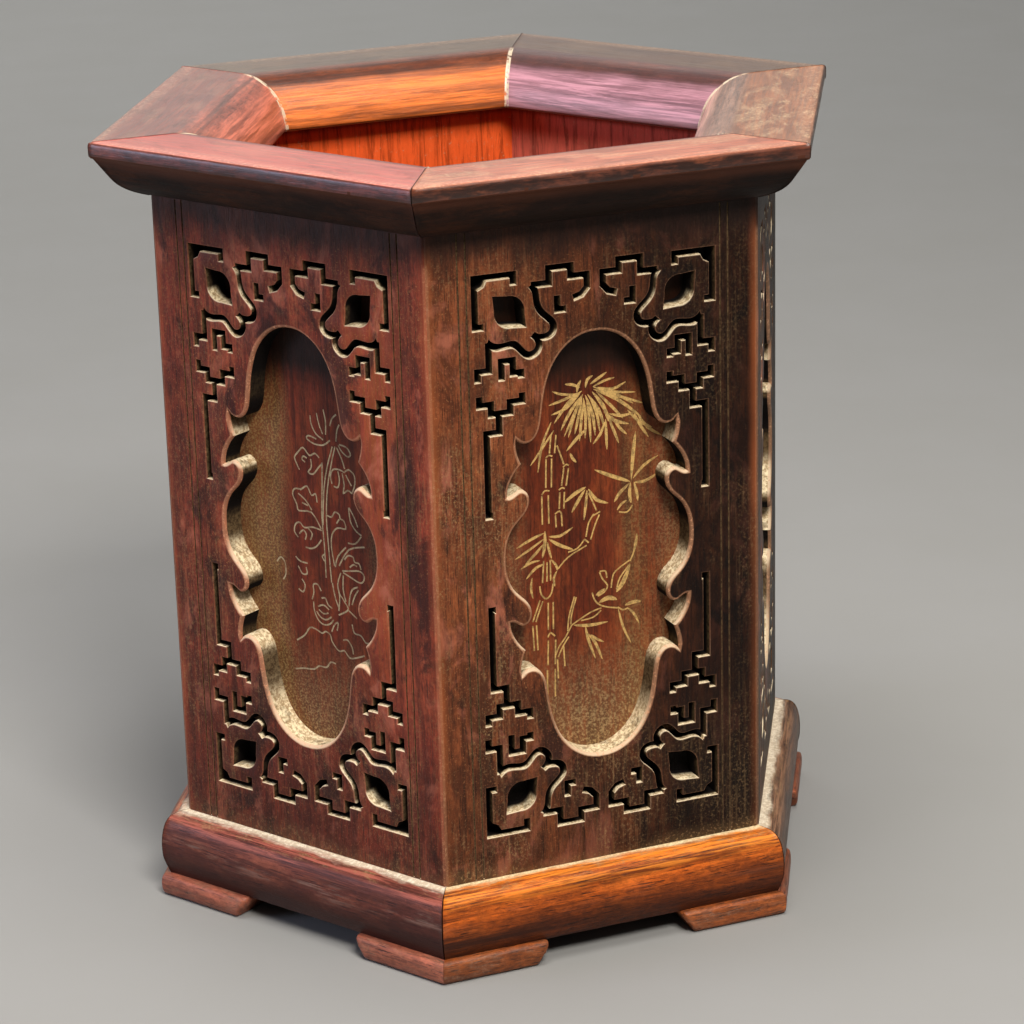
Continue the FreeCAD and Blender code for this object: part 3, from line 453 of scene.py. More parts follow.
# ------------------------------------------------------------------ materials
class Graph:
    """Short calls that build one material's nodes."""

    def __init__(self, name):
        self.mat = bpy.data.materials.new(name)
        self.mat.use_nodes = True
        self.tree = self.mat.node_tree
        self.tree.nodes.clear()
        self.out = self.tree.nodes.new("ShaderNodeOutputMaterial")
        self.shader = self.tree.nodes.new("ShaderNodeBsdfPrincipled")
        self.tree.links.new(self.shader.outputs[0], self.out.inputs[0])

    def put(self, socket, value):
        if isinstance(value, bpy.types.NodeSocket):
            self.tree.links.new(value, socket)
        elif isinstance(value, (tuple, list)) and len(value) == 3 and socket.type == "RGBA":
            socket.default_value = (*value, 1.0)
        else:
            socket.default_value = value

    def node(self, kind, inputs=(), **settings):
        n = self.tree.nodes.new(kind)
        for key, value in settings.items():
            setattr(n, key, value)
        for key, value in dict(inputs).items():
            self.put(n.inputs[key], value)
        return n

    def math(self, op, a, b=0.0, clamp=False):
        return self.node("ShaderNodeMath", {0: a, 1: b}, operation=op, use_clamp=clamp).outputs[0]

    def add(self, a, b, clamp=False):
        return self.math("ADD", a, b, clamp)

    def mul(self, *values):
        out = values[0]
        for v in values[1:]:
            out = self.math("MULTIPLY", out, v)
        return out

    def mix(self, fac, a, b, blend="MIX"):
        n = self.node("ShaderNodeMix", data_type="RGBA", blend_type=blend)
        for socket, value in zip((n.inputs[0], n.inputs[6], n.inputs[7]), (fac, a, b)):
            self.put(socket, value)
        return n.outputs[2]

    def span(self, value, low, high, to_low=0.0, to_high=1.0):
        """The value eased from low..high to to_low..to_high."""
        n = self.node("ShaderNodeMapRange", {"Value": value, "To Min": to_low, "To Max": to_high},
                      interpolation_type="SMOOTHSTEP")
        n.inputs["From Min"].default_value, n.inputs["From Max"].default_value = low, high
        return n.outputs[0]

    def band(self, value, low, high, soft):
        """One inside low..high, easing to nothing over soft on either side."""
        above = self.span(value, low - soft, low + soft)
        return self.mul(above, self.span(value, high - soft, high + soft, 1, 0))

    def noise(self, at, scale, detail=3.0, rough=0.55, warp=0.0):
        """Noise whose features are 1 / scale mm across; scale may differ along x, y and z."""
        steps = scale if isinstance(scale, tuple) else (scale,) * 3
        vector = self.node("ShaderNodeVectorMath", {0: at, 1: steps}, operation="MULTIPLY").outputs[0]
        settings = {"Vector": vector, "Scale": 1.0, "Detail": detail, "Roughness": rough, "Distortion": warp}
        return self.node("ShaderNodeTexNoise", settings).outputs["Fac"]

    def patches(self, at, low, high, scale, detail=3.0, rough=0.55, warp=0.0):
        """Patches of noise: nothing where it is below low, one where it is above high."""
        return self.span(self.noise(at, scale, detail, rough, warp), low, high)

    def bump(self, height, strength, distance):
        """Relief on the surface; the distance is in metres."""
        node = self.node("ShaderNodeBump", {"Strength": strength, "Distance": distance, "Height": height})
        self.put(self.shader.inputs["Normal"], node.outputs[0])

    def attribute(self, name):
        return self.node("ShaderNodeAttribute", attribute_name=name).outputs["Fac"]

    def place(self, seed=0.0, turned=0.0):
        """The point in mm, turned to a wall facing +X and shifted by seed, and its x, y and z unshifted."""
        co = self.node("ShaderNodeTexCoord").outputs["Object"]
        mm = self.node("ShaderNodeMapping", {"Vector": co, "Rotation": (0, 0, math.radians(-turned)),
                                             "Scale": (1000, 1000, 1000)}, vector_type="POINT").outputs[0]
        moved = self.node("ShaderNodeVectorMath", {0: mm, 1: (seed * 37.1, seed * 53.7, seed * 91.3)},
                          operation="ADD").outputs[0]
        parts = self.node("ShaderNodeSeparateXYZ", {0: mm}).outputs
        return moved, parts[0], parts[1], parts[2]


# The tones that the materials share, or mix into each side's own. The near-black one is painted shade in
# cuts, hollows and undersides as well as soot in the mitre joints; BLACK and SHADE are painted shade too.
BLACK, SHADE_AND_SOOT, SHADE = (0.0, 0.0, 0.0), (0.0045, 0.003, 0.0026), (0.010, 0.005, 0.003)
DARK, PAINTED_RIM_SHADOW, SHADED_UNDERSIDE = (0.016, 0.006, 0.0045), (0.016, 0.007, 0.005), (0.050, 0.018, 0.011)
ORANGE, PAINTED_SHEEN, RUBBED_AND_HIGHLIGHT = (0.34, 0.085, 0.020), (0.62, 0.20, 0.125), (0.78, 0.42, 0.24)
KHAKI, CREAM_DUST_AND_HIGHLIGHT, WORN_EDGE_AND_HIGHLIGHT = (0.36, 0.225, 0.105), (0.90, 0.77, 0.52), (1.0, 0.88, 0.62)
SAWN_DARK, SAWN_PALE, LESS_SHADED_EDGE = (0.035, 0.020, 0.010), (0.13, 0.085, 0.040), (0.12, 0.040, 0.022)
PALE_PINK, TOP_DUST, FILLER = (1.0, 0.62, 0.40), (0.66, 0.50, 0.32), (0.62, 0.52, 0.38)
BLOOM, FOOT_FILM, STRIPE = (0.24, 0.16, 0.13), (0.30, 0.17, 0.11), (0.33, 0.20, 0.075)
LOW_DUST, LOW_DUST_PALE = (0.24, 0.15, 0.065), (0.56, 0.40, 0.19)
FLECK, MOUTH_FLECK = (0.50, 0.22, 0.085), (0.62, 0.34, 0.20)
GRAIN_DEEP, SAW_MARKS_DEEP = 0.00014, 0.00025      # metres
GROWTH_RINGS, COAT_ROUGHNESS = 46.0, 0.24


def wood_base(g, at, along, dark, light, figure=1.0, pores=0.7, mottled=0.45):
    """Rosewood: ring figure, dark streaks, fine fibre and short pores that run along one axis."""
    def stretched(across, lengthwise):
        return tuple(lengthwise if axis == along else across for axis in "xyz")

    rings = g.noise(at, stretched(0.085, 0.006), 2.0, 0.5, 0.4)
    rings = g.span(g.math("SINE", g.mul(rings, GROWTH_RINGS * figure)), -1.0, 1.0)
    fibre = g.noise(at, stretched(1.7, 0.060), 5.0, 0.70)
    grit = g.patches(at, 0.38, 0.64, stretched(0.95, 0.42), 7.0, 0.78, 0.8)
    streak = g.patches(at, 0.52, 0.66, stretched(0.30, 0.013), 4.0, 0.65, 0.4)
    pore = g.patches(at, 0.58, 0.67, stretched(4.2, 0.22), 2.0, 0.5)
    cloud = g.noise(at, 0.035, 3.0, 0.55)
    blot = g.patches(at, 0.42, 0.60, stretched(0.16, 0.075), 6.0, 0.70, 0.8)
    tone = g.add(g.mul(rings, 0.24), g.add(g.mul(g.span(fibre, 0.36, 0.66), 0.34), g.mul(grit, 0.42)))
    warm = g.patches(at, 0.44, 0.60, stretched(0.11, 0.05), 5.0, 0.68, 0.6)
    light = g.mix(g.mul(warm, 0.55), light, g.mix(0.5, light, ORANGE, "SCREEN"))
    colour = g.mix(tone, g.mix(0.16, dark, light), light)
    colour = g.mix(g.mul(streak, 0.70), colour, g.mix(0.10, dark, light))
    colour = g.mix(g.mul(blot, mottled), colour, g.mix(0.16, dark, light))
    colour = g.mix(g.span(cloud, 0.35, 0.70, 0.0, 0.35), colour, g.mix(0.55, dark, colour))
    colour = g.mix(g.mul(pore, pores), colour, dark)
    height = g.math("SUBTRACT", g.mul(g.add(fibre, grit), 0.4), g.mul(pore, 0.9))
    return colour, fibre, cloud, height


def finish_wood(g, colour, rough, height, bump=0.35, spec=0.5, coat=0.0):
    g.put(g.shader.inputs["Base Color"], colour)
    g.put(g.shader.inputs["Roughness"], rough)
    g.shader.inputs["Specular IOR Level"].default_value = spec
    g.shader.inputs["Coat Weight"].default_value = coat
    g.shader.inputs["Coat Roughness"].default_value = COAT_ROUGHNESS
    g.bump(height, bump, GRAIN_DEEP)
    return g.mat


def roughness(g, fibre, low, high, dust=None, dull=0.0):
    """From low to high with the fibre, and duller by dull where dust lies."""
    rough = g.span(fibre, 0.2, 0.8, low, high)
    return rough if dust is None else g.add(rough, g.mul(dust, dull), True)


def up_facing(g):
    return g.node("ShaderNodeSeparateXYZ", {0: g.node("ShaderNodeNewGeometry").outputs["Normal"]}).outputs[2]


def speckle(g, at, low, high, scale=1.5):
    return g.patches(at, low, high, scale, 4.0, 0.75)


def hairlines(g, at, scale, thin=0.010):
    """Fine wandering lines, one where they run."""
    off = g.math("ABSOLUTE", g.math("SUBTRACT", g.noise(at, scale, 2.0, 0.5, 0.2), 0.5))
    return g.span(off, 0.0, thin, 1.0, 0.0)


def fret_wood(side, seed, light, deep, khaki, lit, warm_edge=0.0):
    """A panel's face: handled, dusty in its grain, with a painted shadow under the rim and painted shade
    across it.

    khaki is how dusty it is, lit how light its left and right are, warm_edge how orange its faded edge is.
    """
    g = Graph(f"fret_wood_{side}")
    at, _, across, high = g.place(seed)
    colour, fibre, cloud, height = wood_base(g, at, "z", deep, light, 1.0, 0.7, 0.75)
    worn = g.attribute("arris")
    up = up_facing(g)
    fine = speckle(g, at, 0.50, 0.66, 1.6)
    patch = g.patches(at, 0.42, 0.60, (0.07, 0.07, 0.030), 4.0, 0.65)
    if warm_edge:
        edge = g.mul(g.band(across, 15.0, 26.5, 6.0), g.span(high, 45, 75), g.span(high, 150, 128),
                     g.span(cloud, 0.3, 0.6, 0.45, 1.0))
        colour = g.mix(g.mul(edge, warm_edge), colour, g.mix(g.span(fibre, 0.35, 0.65), light, ORANGE))
        knot = g.mul(g.band(g.add(across, g.mul(cloud, 5.0)), 30.0, 33.6, 1.4), g.band(high, 84, 116, 9.0))
        colour = g.mix(g.mul(knot, 0.85), colour, DARK)
    # a painted pinkish sheen in patches, nearly black stain in others
    sheen_patch = g.patches(at, 0.52, 0.66, (0.10, 0.10, 0.055), 5.0, 0.68, 0.5)
    colour = g.mix(g.mul(sheen_patch, 0.42), colour, PAINTED_SHEEN)
    stain = g.patches(at, 0.52, 0.62, (0.075, 0.075, 0.045), 5.0, 0.66, 0.8)
    colour = g.mix(g.mul(stain, 0.78), colour, deep)
    # painted shade: lighter or darker from left to right, unevenly, as each side is lit, and darker low down
    shade = g.span(g.add(across, g.mul(g.math("SUBTRACT", cloud, 0.5), 30.0)), -22.0, 22.0, *lit)
    shade = g.mul(shade, g.span(high, 26, 78, 0.62, 1.0))
    colour = g.mix(shade, BLACK, colour)
    # the handled corner is lighter and redder: worn, and a painted highlight along its arris
    corner = g.mul(g.span(g.math("ABSOLUTE", across), 32.6, 35.0), g.span(cloud, 0.35, 0.65, 0.25, 0.75))
    colour = g.mix(g.mul(corner, g.span(high, 20, 60, 0.3, 1.0)), colour, g.mix(0.35, light, ORANGE))
    # pale bloom and dust in the grain, in patches and scratches
    bloom = g.add(g.mul(fine, 0.75), g.mul(g.span(fibre, 0.52, 0.66), 0.45), True)
    dusty = g.mul(bloom, patch, g.span(high, 150, 40, 0.45, 1.0), g.span(shade, 0.1, 0.8, 0.35, 1.0), khaki)
    upright, level = hairlines(g, at, (1.3, 1.3, 0.07)), hairlines(g, at, (0.10, 0.10, 1.4), 0.008)
    scratch = g.mul(g.math("MAXIMUM", upright, level), g.span(high, 60, 30), g.span(fine, 0, 1, 0.1, 0.45),
                    khaki)
    dusty = g.math("MAXIMUM", dusty, scratch)
    foot_dust = g.mul(g.span(g.math("SUBTRACT", high, g.mul(cloud, 9.0)), 18.2, 14.2),
                      g.span(fine, 0, 1, 0.15, 0.75), g.span(khaki, 0.4, 1.0, 0.45, 1.0))
    colour = g.mix(g.math("MAXIMUM", dusty, foot_dust), colour, KHAKI)
    fleck = g.mul(speckle(g, at, 0.56, 0.70, 2.3), g.span(cloud, 0.30, 0.62, 0.15, 0.65), shade)
    colour = g.mix(fleck, colour, FLECK)
    # painted shadow of the rim across the top of the panel
    rim_shadow = g.span(g.add(high, g.mul(cloud, 12.0)), 149, 157.5)
    colour = g.mix(g.mul(rim_shadow, 0.85), colour, PAINTED_RIM_SHADOW)
    # the upward-facing arrises of the cuts: worn pale, and a painted highlight where light from above catches
    # them
    worn_lip_and_highlight = g.mul(worn, g.span(up, 0.08, 0.5), g.span(high, 150, 148), g.span(across, -34.5, -33.5),
                g.span(across, 34.5, 33.5))
    colour = g.mix(g.mul(worn_lip_and_highlight, g.span(fine, 0.0, 0.7, 0.75, 1.0)), colour, WORN_EDGE_AND_HIGHLIGHT)
    # arrises rubbed lighter, most round the opening: wear, and a painted highlight along the opening's
    # rounded edge
    rub = g.mul(worn, g.span(g.attribute("wide"), 0.3, 0.9, 0.35, 0.90), g.span(fine, 0.0, 1.0, 0.45, 1.0),
                g.span(high, 148, 146))
    colour = g.mix(rub, colour, g.mix(0.7, light, RUBBED_AND_HIGHLIGHT))
    rough = roughness(g, fibre, 0.38, 0.56, dusty, 0.35)
    return finish_wood(g, colour, rough, g.add(height, g.mul(fine, dusty, 0.6)), 0.45, 0.18)


def saw_cut(side, seed):
    """Walls of the saw cuts, holes and opening: painted black as shade inside and where they face down;
    dusty, and painted pale as a highlight, where they face up near the front.
    """
    g = Graph(f"saw_cut_{side}")
    at, out, _, _ = g.place(seed)
    wide, up = g.attribute("wide"), up_facing(g)
    fine = speckle(g, at, 0.35, 0.65, 1.2)
    drift = g.span(g.noise(at, 0.35, 3.0, 0.6), 0.30, 0.50, 0.35, 1.0)
    bare = g.mix(fine, SAWN_DARK, SAWN_PALE)
    # painted shade: walls that face down are near black
    bare = g.mix(g.span(up, 0.05, -0.25), bare, SHADE_AND_SOOT)
    tall = g.span(wide, 0.4, 0.8)
    # painted shade: deep in a narrow cut the wall is near black
    wall = g.mix(tall, g.mix(g.span(out, 58.9, 60.7), SHADE_AND_SOOT, bare), bare)
    near = g.math("MAXIMUM", g.span(out, 59.60, 60.25), tall)
    near = g.math("MAXIMUM", near, g.mul(g.span(wide, 0.06, 0.10), g.span(out, 57.2, 59.2)))
    # dust where the walls face up near the front, painted pale as a highlight too
    dust_and_highlight = g.mul(g.span(up, 0.12, 0.50), near, drift)
    dust = g.mix(g.span(fine, 0, 1, 0.15, 1.0), KHAKI, CREAM_DUST_AND_HIGHLIGHT)
    g.put(g.shader.inputs["Base Color"], g.mix(dust_and_highlight, wall, dust))
    g.shader.inputs["Roughness"].default_value = 0.85
    g.shader.inputs["Specular IOR Level"].default_value = 0.12
    g.bump(g.noise(at, (0.8, 2.6, 2.6), 4.0, 0.7), 0.5, SAW_MARKS_DEEP)
    return g.mat


def rim_wood(side, seed, light, deep, top, top_dust, inner, round_shade):
    """Rim moulding, grain along the rail: a film of wear and a painted sheen on its flat top, dust, and
    filler along the mitres.

    top is the tone of the flat top, partly a painted sheen; inner that of the round inside the mouth, for
    some sides partly a painted sheen; the last argument says how far the outside of that round is darkened as
    painted shade.
    """
    g = Graph(f"rim_wood_{side}")
    at, out, _, high = g.place(seed)
    colour, fibre, cloud, height = wood_base(g, at, "y", deep, light, 0.8, 0.5, 0.35)
    worn, seam = g.attribute("arris"), g.attribute("seam")
    up = up_facing(g)
    fine = speckle(g, at, 0.45, 0.66, 1.3)
    patch = g.patches(at, 0.47, 0.60, (0.13, 0.055, 0.13), 5.0, 0.70, 0.8)
    # the inner round: darkened above as painted shade; below, its own tone, for some sides partly a painted
    # sheen
    inside = g.span(g.add(out, g.mul(g.math("SUBTRACT", cloud, 0.5), 4.0)), 50.6, 47.6)
    streaks = g.patches(at, 0.46, 0.60, (0.55, 0.030, 0.55), 5.0, 0.68, 0.5)
    figured = g.mix(g.span(fibre, 0.40, 0.62, 0.45, 0.0), inner, deep)
    figured = g.mix(g.mul(streaks, 0.50), figured, deep)
    low = g.span(g.add(high, g.mul(cloud, 2.0)), 155.2, 157.4, 0.55, 0.95)
    colour = g.mix(g.mul(inside, low), g.mix(round_shade, colour, deep), figured)
    # the flat top: a worn film, its tone partly a painted sheen
    film = g.mul(g.span(out, 54.3, 56.8), g.span(up, 0.80, 0.985))
    flat = g.mul(film, g.span(g.noise(at, (0.06, 0.03, 0.06), 3.0), 0.25, 0.60, 0.75, 1.0))
    colour = g.mix(flat, colour, g.mix(g.span(fibre, 0.36, 0.64), g.mix(0.55, deep, top), top))
    colour = g.mix(g.mul(film, g.patches(at, 0.49, 0.62, (0.24, 0.08, 0.24), 6.0, 0.74, 0.6), 0.62), colour,
                   g.mix(0.35, deep, top))
    pale = g.span(g.add(out, g.mul(cloud, 6.0)), 69.0, 73.0)
    colour = g.mix(g.mul(film, pale, g.span(fine, 0.0, 1.0, 0.15, 0.60)), colour, g.mix(0.35, top, PALE_PINK))
    dust = g.mul(film, patch, g.span(fine, 0.0, 1.0, 0.25, 1.0), top_dust)
    colour = g.mix(dust, colour, TOP_DUST)
    face = g.mul(g.band(high, 161.8, 164.6, 0.4), g.span(up, 0.7, 0.3))
    colour = g.mix(g.mul(face, g.patches(at, 0.38, 0.60, (0.5, 0.12, 0.5), 4.0, 0.7), 0.9), colour, deep)
    rub = g.mul(g.span(worn, 0.3, 0.8), g.span(up, 0.2, 0.6),
                g.patches(at, 0.42, 0.56, (0.6, 0.10, 0.6), 3.0))
    colour = g.mix(g.mul(rub, 0.45), colour, ORANGE)
    filler = g.mul(g.span(seam, 0.52, 0.64), g.span(out, 56.0, 53.5), g.patches(at, 0.36, 0.52, 0.8, 3.0))
    colour = g.mix(g.mul(filler, 0.85), colour, FILLER)
    join = g.mul(g.span(seam, 0.84, 1.0), g.span(out, 54.0, 57.0))
    colour = g.mix(g.mul(join, 0.6), colour, SHADE_AND_SOOT)
    # painted shade: the faces of the inner round that turn down into the mouth are near black
    colour = g.mix(g.mul(g.span(up, 0.0, -0.5), g.span(out, 52.0, 50.0), 0.8), colour, SHADE_AND_SOOT)
    rough = roughness(g, fibre, 0.28, 0.44, dust, 0.3)
    return finish_wood(g, colour, rough, height, 0.22, 0.45, 0.22)


def under_rim(side, seed):
    """The rim's hollow underside, painted near black as shade, less dark towards its outer edge."""
    g = Graph(f"under_rim_{side}")
    at, _, _, high = g.place(seed)
    colour, fibre, cloud, height = wood_base(g, at, "y", SHADE_AND_SOOT, SHADED_UNDERSIDE, 0.8, 0.8)
    # the painted shade eases off towards the outer edge of the hollow
    edge = g.mul(g.span(g.add(high, g.mul(cloud, 3.0)), 160.5, 163.6), 0.7)
    colour = g.mix(edge, g.mix(0.5, SHADE_AND_SOOT, colour), LESS_SHADED_EDGE)
    return finish_wood(g, colour, roughness(g, fibre, 0.60, 0.75), height, 0.3, 0.14)


def base_wood(side, seed, light, deep, bloom, dust_to, dust_tone):
    """Base moulding, grain along the rail: dust lies along the foot of the panel, as far out as dust_to."""
    g = Graph(f"base_wood_{side}")
    at, out, _, high = g.place(seed)
    colour, fibre, cloud, height = wood_base(g, at, "y", deep, light, 0.8, 0.85, 0.50)
    seam, up = g.attribute("seam"), up_facing(g)
    fine = speckle(g, at, 0.40, 0.64, 1.3)
    shine = tuple(min(1.0, 2.2 * v) for v in light)
    ragged = g.add(out, g.mul(g.math("SUBTRACT", g.noise(at, (0.5, 0.12, 0.5), 4.0, 0.65), 0.5), 4.2))
    lying = g.mul(g.span(ragged, dust_to + 1.1, dust_to - 0.9), g.span(high, 15.4, 16.8))
    # painted highlight: faces of the moulding that turn up are lighter along the grain
    sheen = g.mul(g.span(up, 0.12, 0.60), g.span(fibre, 0.42, 0.60), 0.75)
    colour = g.mix(sheen, colour, g.mix(0.6, light, shine))
    streaks = g.patches(at, 0.50, 0.62, (0.55, 0.028, 0.55), 5.0, 0.70, 0.5)
    colour = g.mix(g.mul(streaks, 0.70), colour, g.mix(0.15, deep, light))
    # painted shade: the lower part of the moulding, which turns under, is darker
    colour = g.mix(g.mul(g.span(g.add(high, g.mul(cloud, 4.0)), 17.0, 9.5), 0.84), colour, deep)
    film = g.mul(g.span(up, 0.45, 0.85), g.patches(at, 0.50, 0.62, (0.9, 0.2, 0.9), 4.0, 0.7), 0.55)
    colour = g.mix(g.mul(film, g.span(fine, 0, 1, 0.3, 1.0)), colour, KHAKI)
    colour = g.mix(g.mul(lying, 0.94), colour, g.mix(g.span(fine, 0, 1, 0.55, 1.0), KHAKI, dust_tone))
    grey = g.mul(g.band(high, 10.5, 14.5, 1.5), g.patches(at, 0.47, 0.62, (0.35, 0.07, 0.35), 5.0, 0.7),
                 bloom)
    colour = g.mix(g.mul(grey, g.span(fibre, 0.40, 0.62), 0.6), colour, BLOOM)
    join = g.span(seam, 0.84, 1.0)
    colour = g.mix(g.mul(join, 0.5), colour, SHADE_AND_SOOT)
    rough = roughness(g, fibre, 0.32, 0.48, lying, 0.4)
    return finish_wood(g, colour, rough, g.add(height, g.mul(lying, fine, 0.4)), 0.30, 0.18, 0.04)


def board_wood(side, angle, seed, light, dark, inner, stripe):
    """Inner boards: dark above and dusty below where the opening shows them, plain red wood in the mouth.

    stripe is a dusty strip of the field: from, to and how strong.
    """
    g = Graph(f"board_wood_{side}")
    at, out, across, high = g.place(seed, angle)
    colour, fibre, cloud, height = wood_base(g, at, "z", dark, light, 0.7, 0.5, 0.3)
    fine = speckle(g, at, 0.42, 0.64, 1.9)
    strip = g.mul(g.band(g.add(across, g.mul(cloud, 6.0)), stripe[0] + 3, stripe[1] + 3, 3.0),
                   g.span(high, 128, 108), g.span(fine, 0.0, 1.0, 0.25, 1.0))
    colour = g.mix(g.mul(strip, stripe[2]), colour, STRIPE)
    low = g.mul(g.span(g.add(high, g.mul(cloud, 26.0)), 82, 54), g.span(fine, 0.0, 1.0, 0.50, 1.0))
    colour = g.mix(g.mul(low, 0.62), colour, g.mix(fine, LOW_DUST, LOW_DUST_PALE))
    edge = g.mul(g.span(g.math("ABSOLUTE", across), 12.0, 18.0), g.span(fine, 0.0, 1.0, 0.2, 0.9), 0.6)
    colour = g.mix(g.mul(edge, g.span(high, 130, 110)), colour, KHAKI)
    shade = g.math("MAXIMUM", g.span(g.add(high, g.mul(cloud, 10.0)), 119, 127),
                   g.span(g.add(high, g.math("ABSOLUTE", across)), 124, 132))
    colour = g.mix(g.mul(shade, 0.92), colour, SHADE)
    # painted shade: away from the opening, where the board shows only through small holes, it is near black
    hidden = g.math("MAXIMUM", g.span(high, 42.0, 40.5), g.span(g.math("ABSOLUTE", across), 20.3, 21.0))
    colour = g.mix(hidden, colour, SHADE_AND_SOOT)
    red, *_ = wood_base(g, at, "z", tuple(0.45 * v for v in inner), inner, 1.2, 0.4, 0.25)
    red = g.mix(0.55, red, inner)
    dark_red = tuple(0.12 * v for v in inner)
    red = g.mix(g.mul(g.patches(at, 0.47, 0.64, (0.45, 0.45, 0.040), 6.0, 0.74, 0.8), 0.60), red, dark_red)
    red = g.mix(g.mul(speckle(g, at, 0.60, 0.70, 0.9), 0.6), red, MOUTH_FLECK)
    # painted shadow of the rim along the top of the wall inside the mouth
    red = g.mix(g.span(high, 150.5, 153.0), red, SHADE_AND_SOOT)
    colour = g.mix(g.span(out, 53.4, 53.0), colour, red)
    rough = roughness(g, fibre, 0.36, 0.52, low, 0.35)
    return finish_wood(g, colour, rough, height, 0.3, 0.16)


def foot_wood(side, seed, light, deep):
    g = Graph(f"foot_wood_{side}")
    at, out, _, _ = g.place(seed)
    colour, fibre, _, height = wood_base(g, at, "y", deep, light, 0.8, 0.85, 0.4)
    worn = g.attribute("arris")
    fine = speckle(g, at, 0.45, 0.66, 1.4)
    film = g.mul(g.patches(at, 0.46, 0.62, (0.5, 0.14, 0.5), 4.0, 0.65), g.span(fine, 0, 1, 0.3, 0.9), 0.5)
    colour = g.mix(film, colour, FOOT_FILM)
    colour = g.mix(g.mul(worn, g.span(fibre, 0.4, 0.6), 0.4), colour, g.mix(0.5, light, ORANGE))
    # painted shade on the inner part of the foot, under the base
    colour = g.mix(g.mul(g.span(out, 64.5, 60.0), 0.8), colour, SHADE_AND_SOOT)
    rough = roughness(g, fibre, 0.40, 0.55, film, 0.3)
    return finish_wood(g, colour, rough, height, 0.35, 0.4)


def gold_paint(name, seed, bright, worn_to, amount):
    g = Graph(name)
    at, *_ = g.place(seed)
    loss = g.patches(at, 0.45, 0.62, 0.9, 4.0, 0.7)
    shade = g.patches(at, 0.3, 0.7, 3.0, 3.0, 0.7)
    colour = g.mix(shade, g.mix(0.6, worn_to, bright), bright)
    colour = g.mix(g.mul(loss, amount), colour, worn_to)
    g.shader.inputs["Metallic"].default_value = 0.15
    return finish_wood(g, colour, g.span(shade, 0, 1, 0.42, 0.62), shade, 0.5)


def plain_wood(name, seed, along, light, dark):
    g = Graph(name)
    at, *_ = g.place(seed)
    colour, fibre, _, height = wood_base(g, at, along, dark, light, 0.8, 0.7)
    fine = speckle(g, at, 0.42, 0.62, 1.1)
    colour = g.mix(g.mul(g.span(up_facing(g), 0.5, 0.9), fine, 0.55), colour, KHAKI)
    return finish_wood(g, colour, roughness(g, fibre, 0.45, 0.62), height, 0.3)


def wear(obj, *materials):
    """Dress a piece. Its faces keep their material numbers."""
    numbers = [f.material_index for f in obj.data.polygons]
    obj.data.materials.clear()
    for material in materials:
        obj.data.materials.append(material)
    obj.data.polygons.foreach_set("material_index", [min(k, len(materials) - 1) for k in numbers])


# ------------------------------------------------------------------ the pot
# The light tone of each side's pieces, and how dusty and worn they are where a side is not like the rest.
# The tones also differ from side to side as painted light and shade, set to how brightly each side is lit.
USUAL = dict(deep=DARK, round_shade=0.0, khaki=1.0, lit=(1.0, 0.12), warm_edge=0.0, stripe=(8.0, 14.0, 0.4),
             bloom=0.85, dust_to=62.7, dust_tone=(0.86, 0.76, 0.60), gold=(0.80, 0.50, 0.16))
LOOKS = {
    "front": dict(
        rim=(0.22, 0.060, 0.030), rim_top_and_sheen=(0.52, 0.165, 0.098), inner_round_and_sheen=(0.30, 0.090, 0.050),
        panel=(0.33, 0.088, 0.030), board=(0.240, 0.040, 0.012), mouth=(0.60, 0.095, 0.025),
        base=(0.90, 0.175, 0.018), feet=(0.52, 0.125, 0.024), top_dust=0.40, stripe=(7.0, 13.0, 0.45),
        bloom=0.15, dust_to=61.9, dust_tone=(0.92, 0.76, 0.46)),
    "front_left": dict(
        rim=(0.24, 0.055, 0.045), rim_top_and_sheen=(0.52, 0.115, 0.092), inner_round_and_sheen=(0.30, 0.080, 0.060),
        panel=(0.40, 0.064, 0.032), board=(0.240, 0.036, 0.014), mouth=(0.60, 0.080, 0.025),
        base=(0.27, 0.074, 0.052), feet=(0.60, 0.170, 0.095), top_dust=0.15, stripe=(-19.0, -8.0, 0.80),
        deep=(0.026, 0.007, 0.006), khaki=0.5, lit=(0.85, 1.0), warm_edge=0.6, gold=(0.52, 0.42, 0.25)),
    "back_left": dict(
        rim=(0.62, 0.170, 0.110), rim_top_and_sheen=(0.210, 0.074, 0.060), inner_round_and_sheen=(0.72, 0.215, 0.140),
        panel=(0.30, 0.078, 0.032), board=(0.200, 0.040, 0.016), mouth=(0.70, 0.090, 0.025),
        base=(0.30, 0.075, 0.035), feet=(0.40, 0.110, 0.050), top_dust=0.15),
    "back": dict(
        rim=(0.34, 0.075, 0.022), rim_top_and_sheen=(0.110, 0.070, 0.046), inner_round_and_sheen=(0.92, 0.220, 0.034),
        panel=(0.30, 0.082, 0.034), board=(0.200, 0.036, 0.015), mouth=(1.00, 0.140, 0.028),
        base=(0.34, 0.080, 0.030), feet=(0.40, 0.105, 0.045), top_dust=0.10, round_shade=0.35),
    "back_right": dict(
        rim=(0.17, 0.050, 0.038), rim_top_and_sheen=(0.105, 0.056, 0.034), inner_round_and_sheen=(0.58, 0.290, 0.360),
        panel=(0.28, 0.078, 0.034), board=(0.190, 0.034, 0.014), mouth=(0.85, 0.200, 0.140),
        base=(0.28, 0.075, 0.032), feet=(0.38, 0.100, 0.045), top_dust=0.10, round_shade=0.35,
        deep=(0.030, 0.011, 0.012)),
    "front_right": dict(
        rim=(0.44, 0.240, 0.170), rim_top_and_sheen=(0.300, 0.120, 0.060), inner_round_and_sheen=(0.85, 0.520, 0.390),
        panel=(0.07, 0.045, 0.030), board=(0.190, 0.036, 0.015), mouth=(0.60, 0.090, 0.030),
        base=(0.20, 0.105, 0.060), feet=(0.40, 0.105, 0.045), top_dust=0.55, khaki=0.4),
}
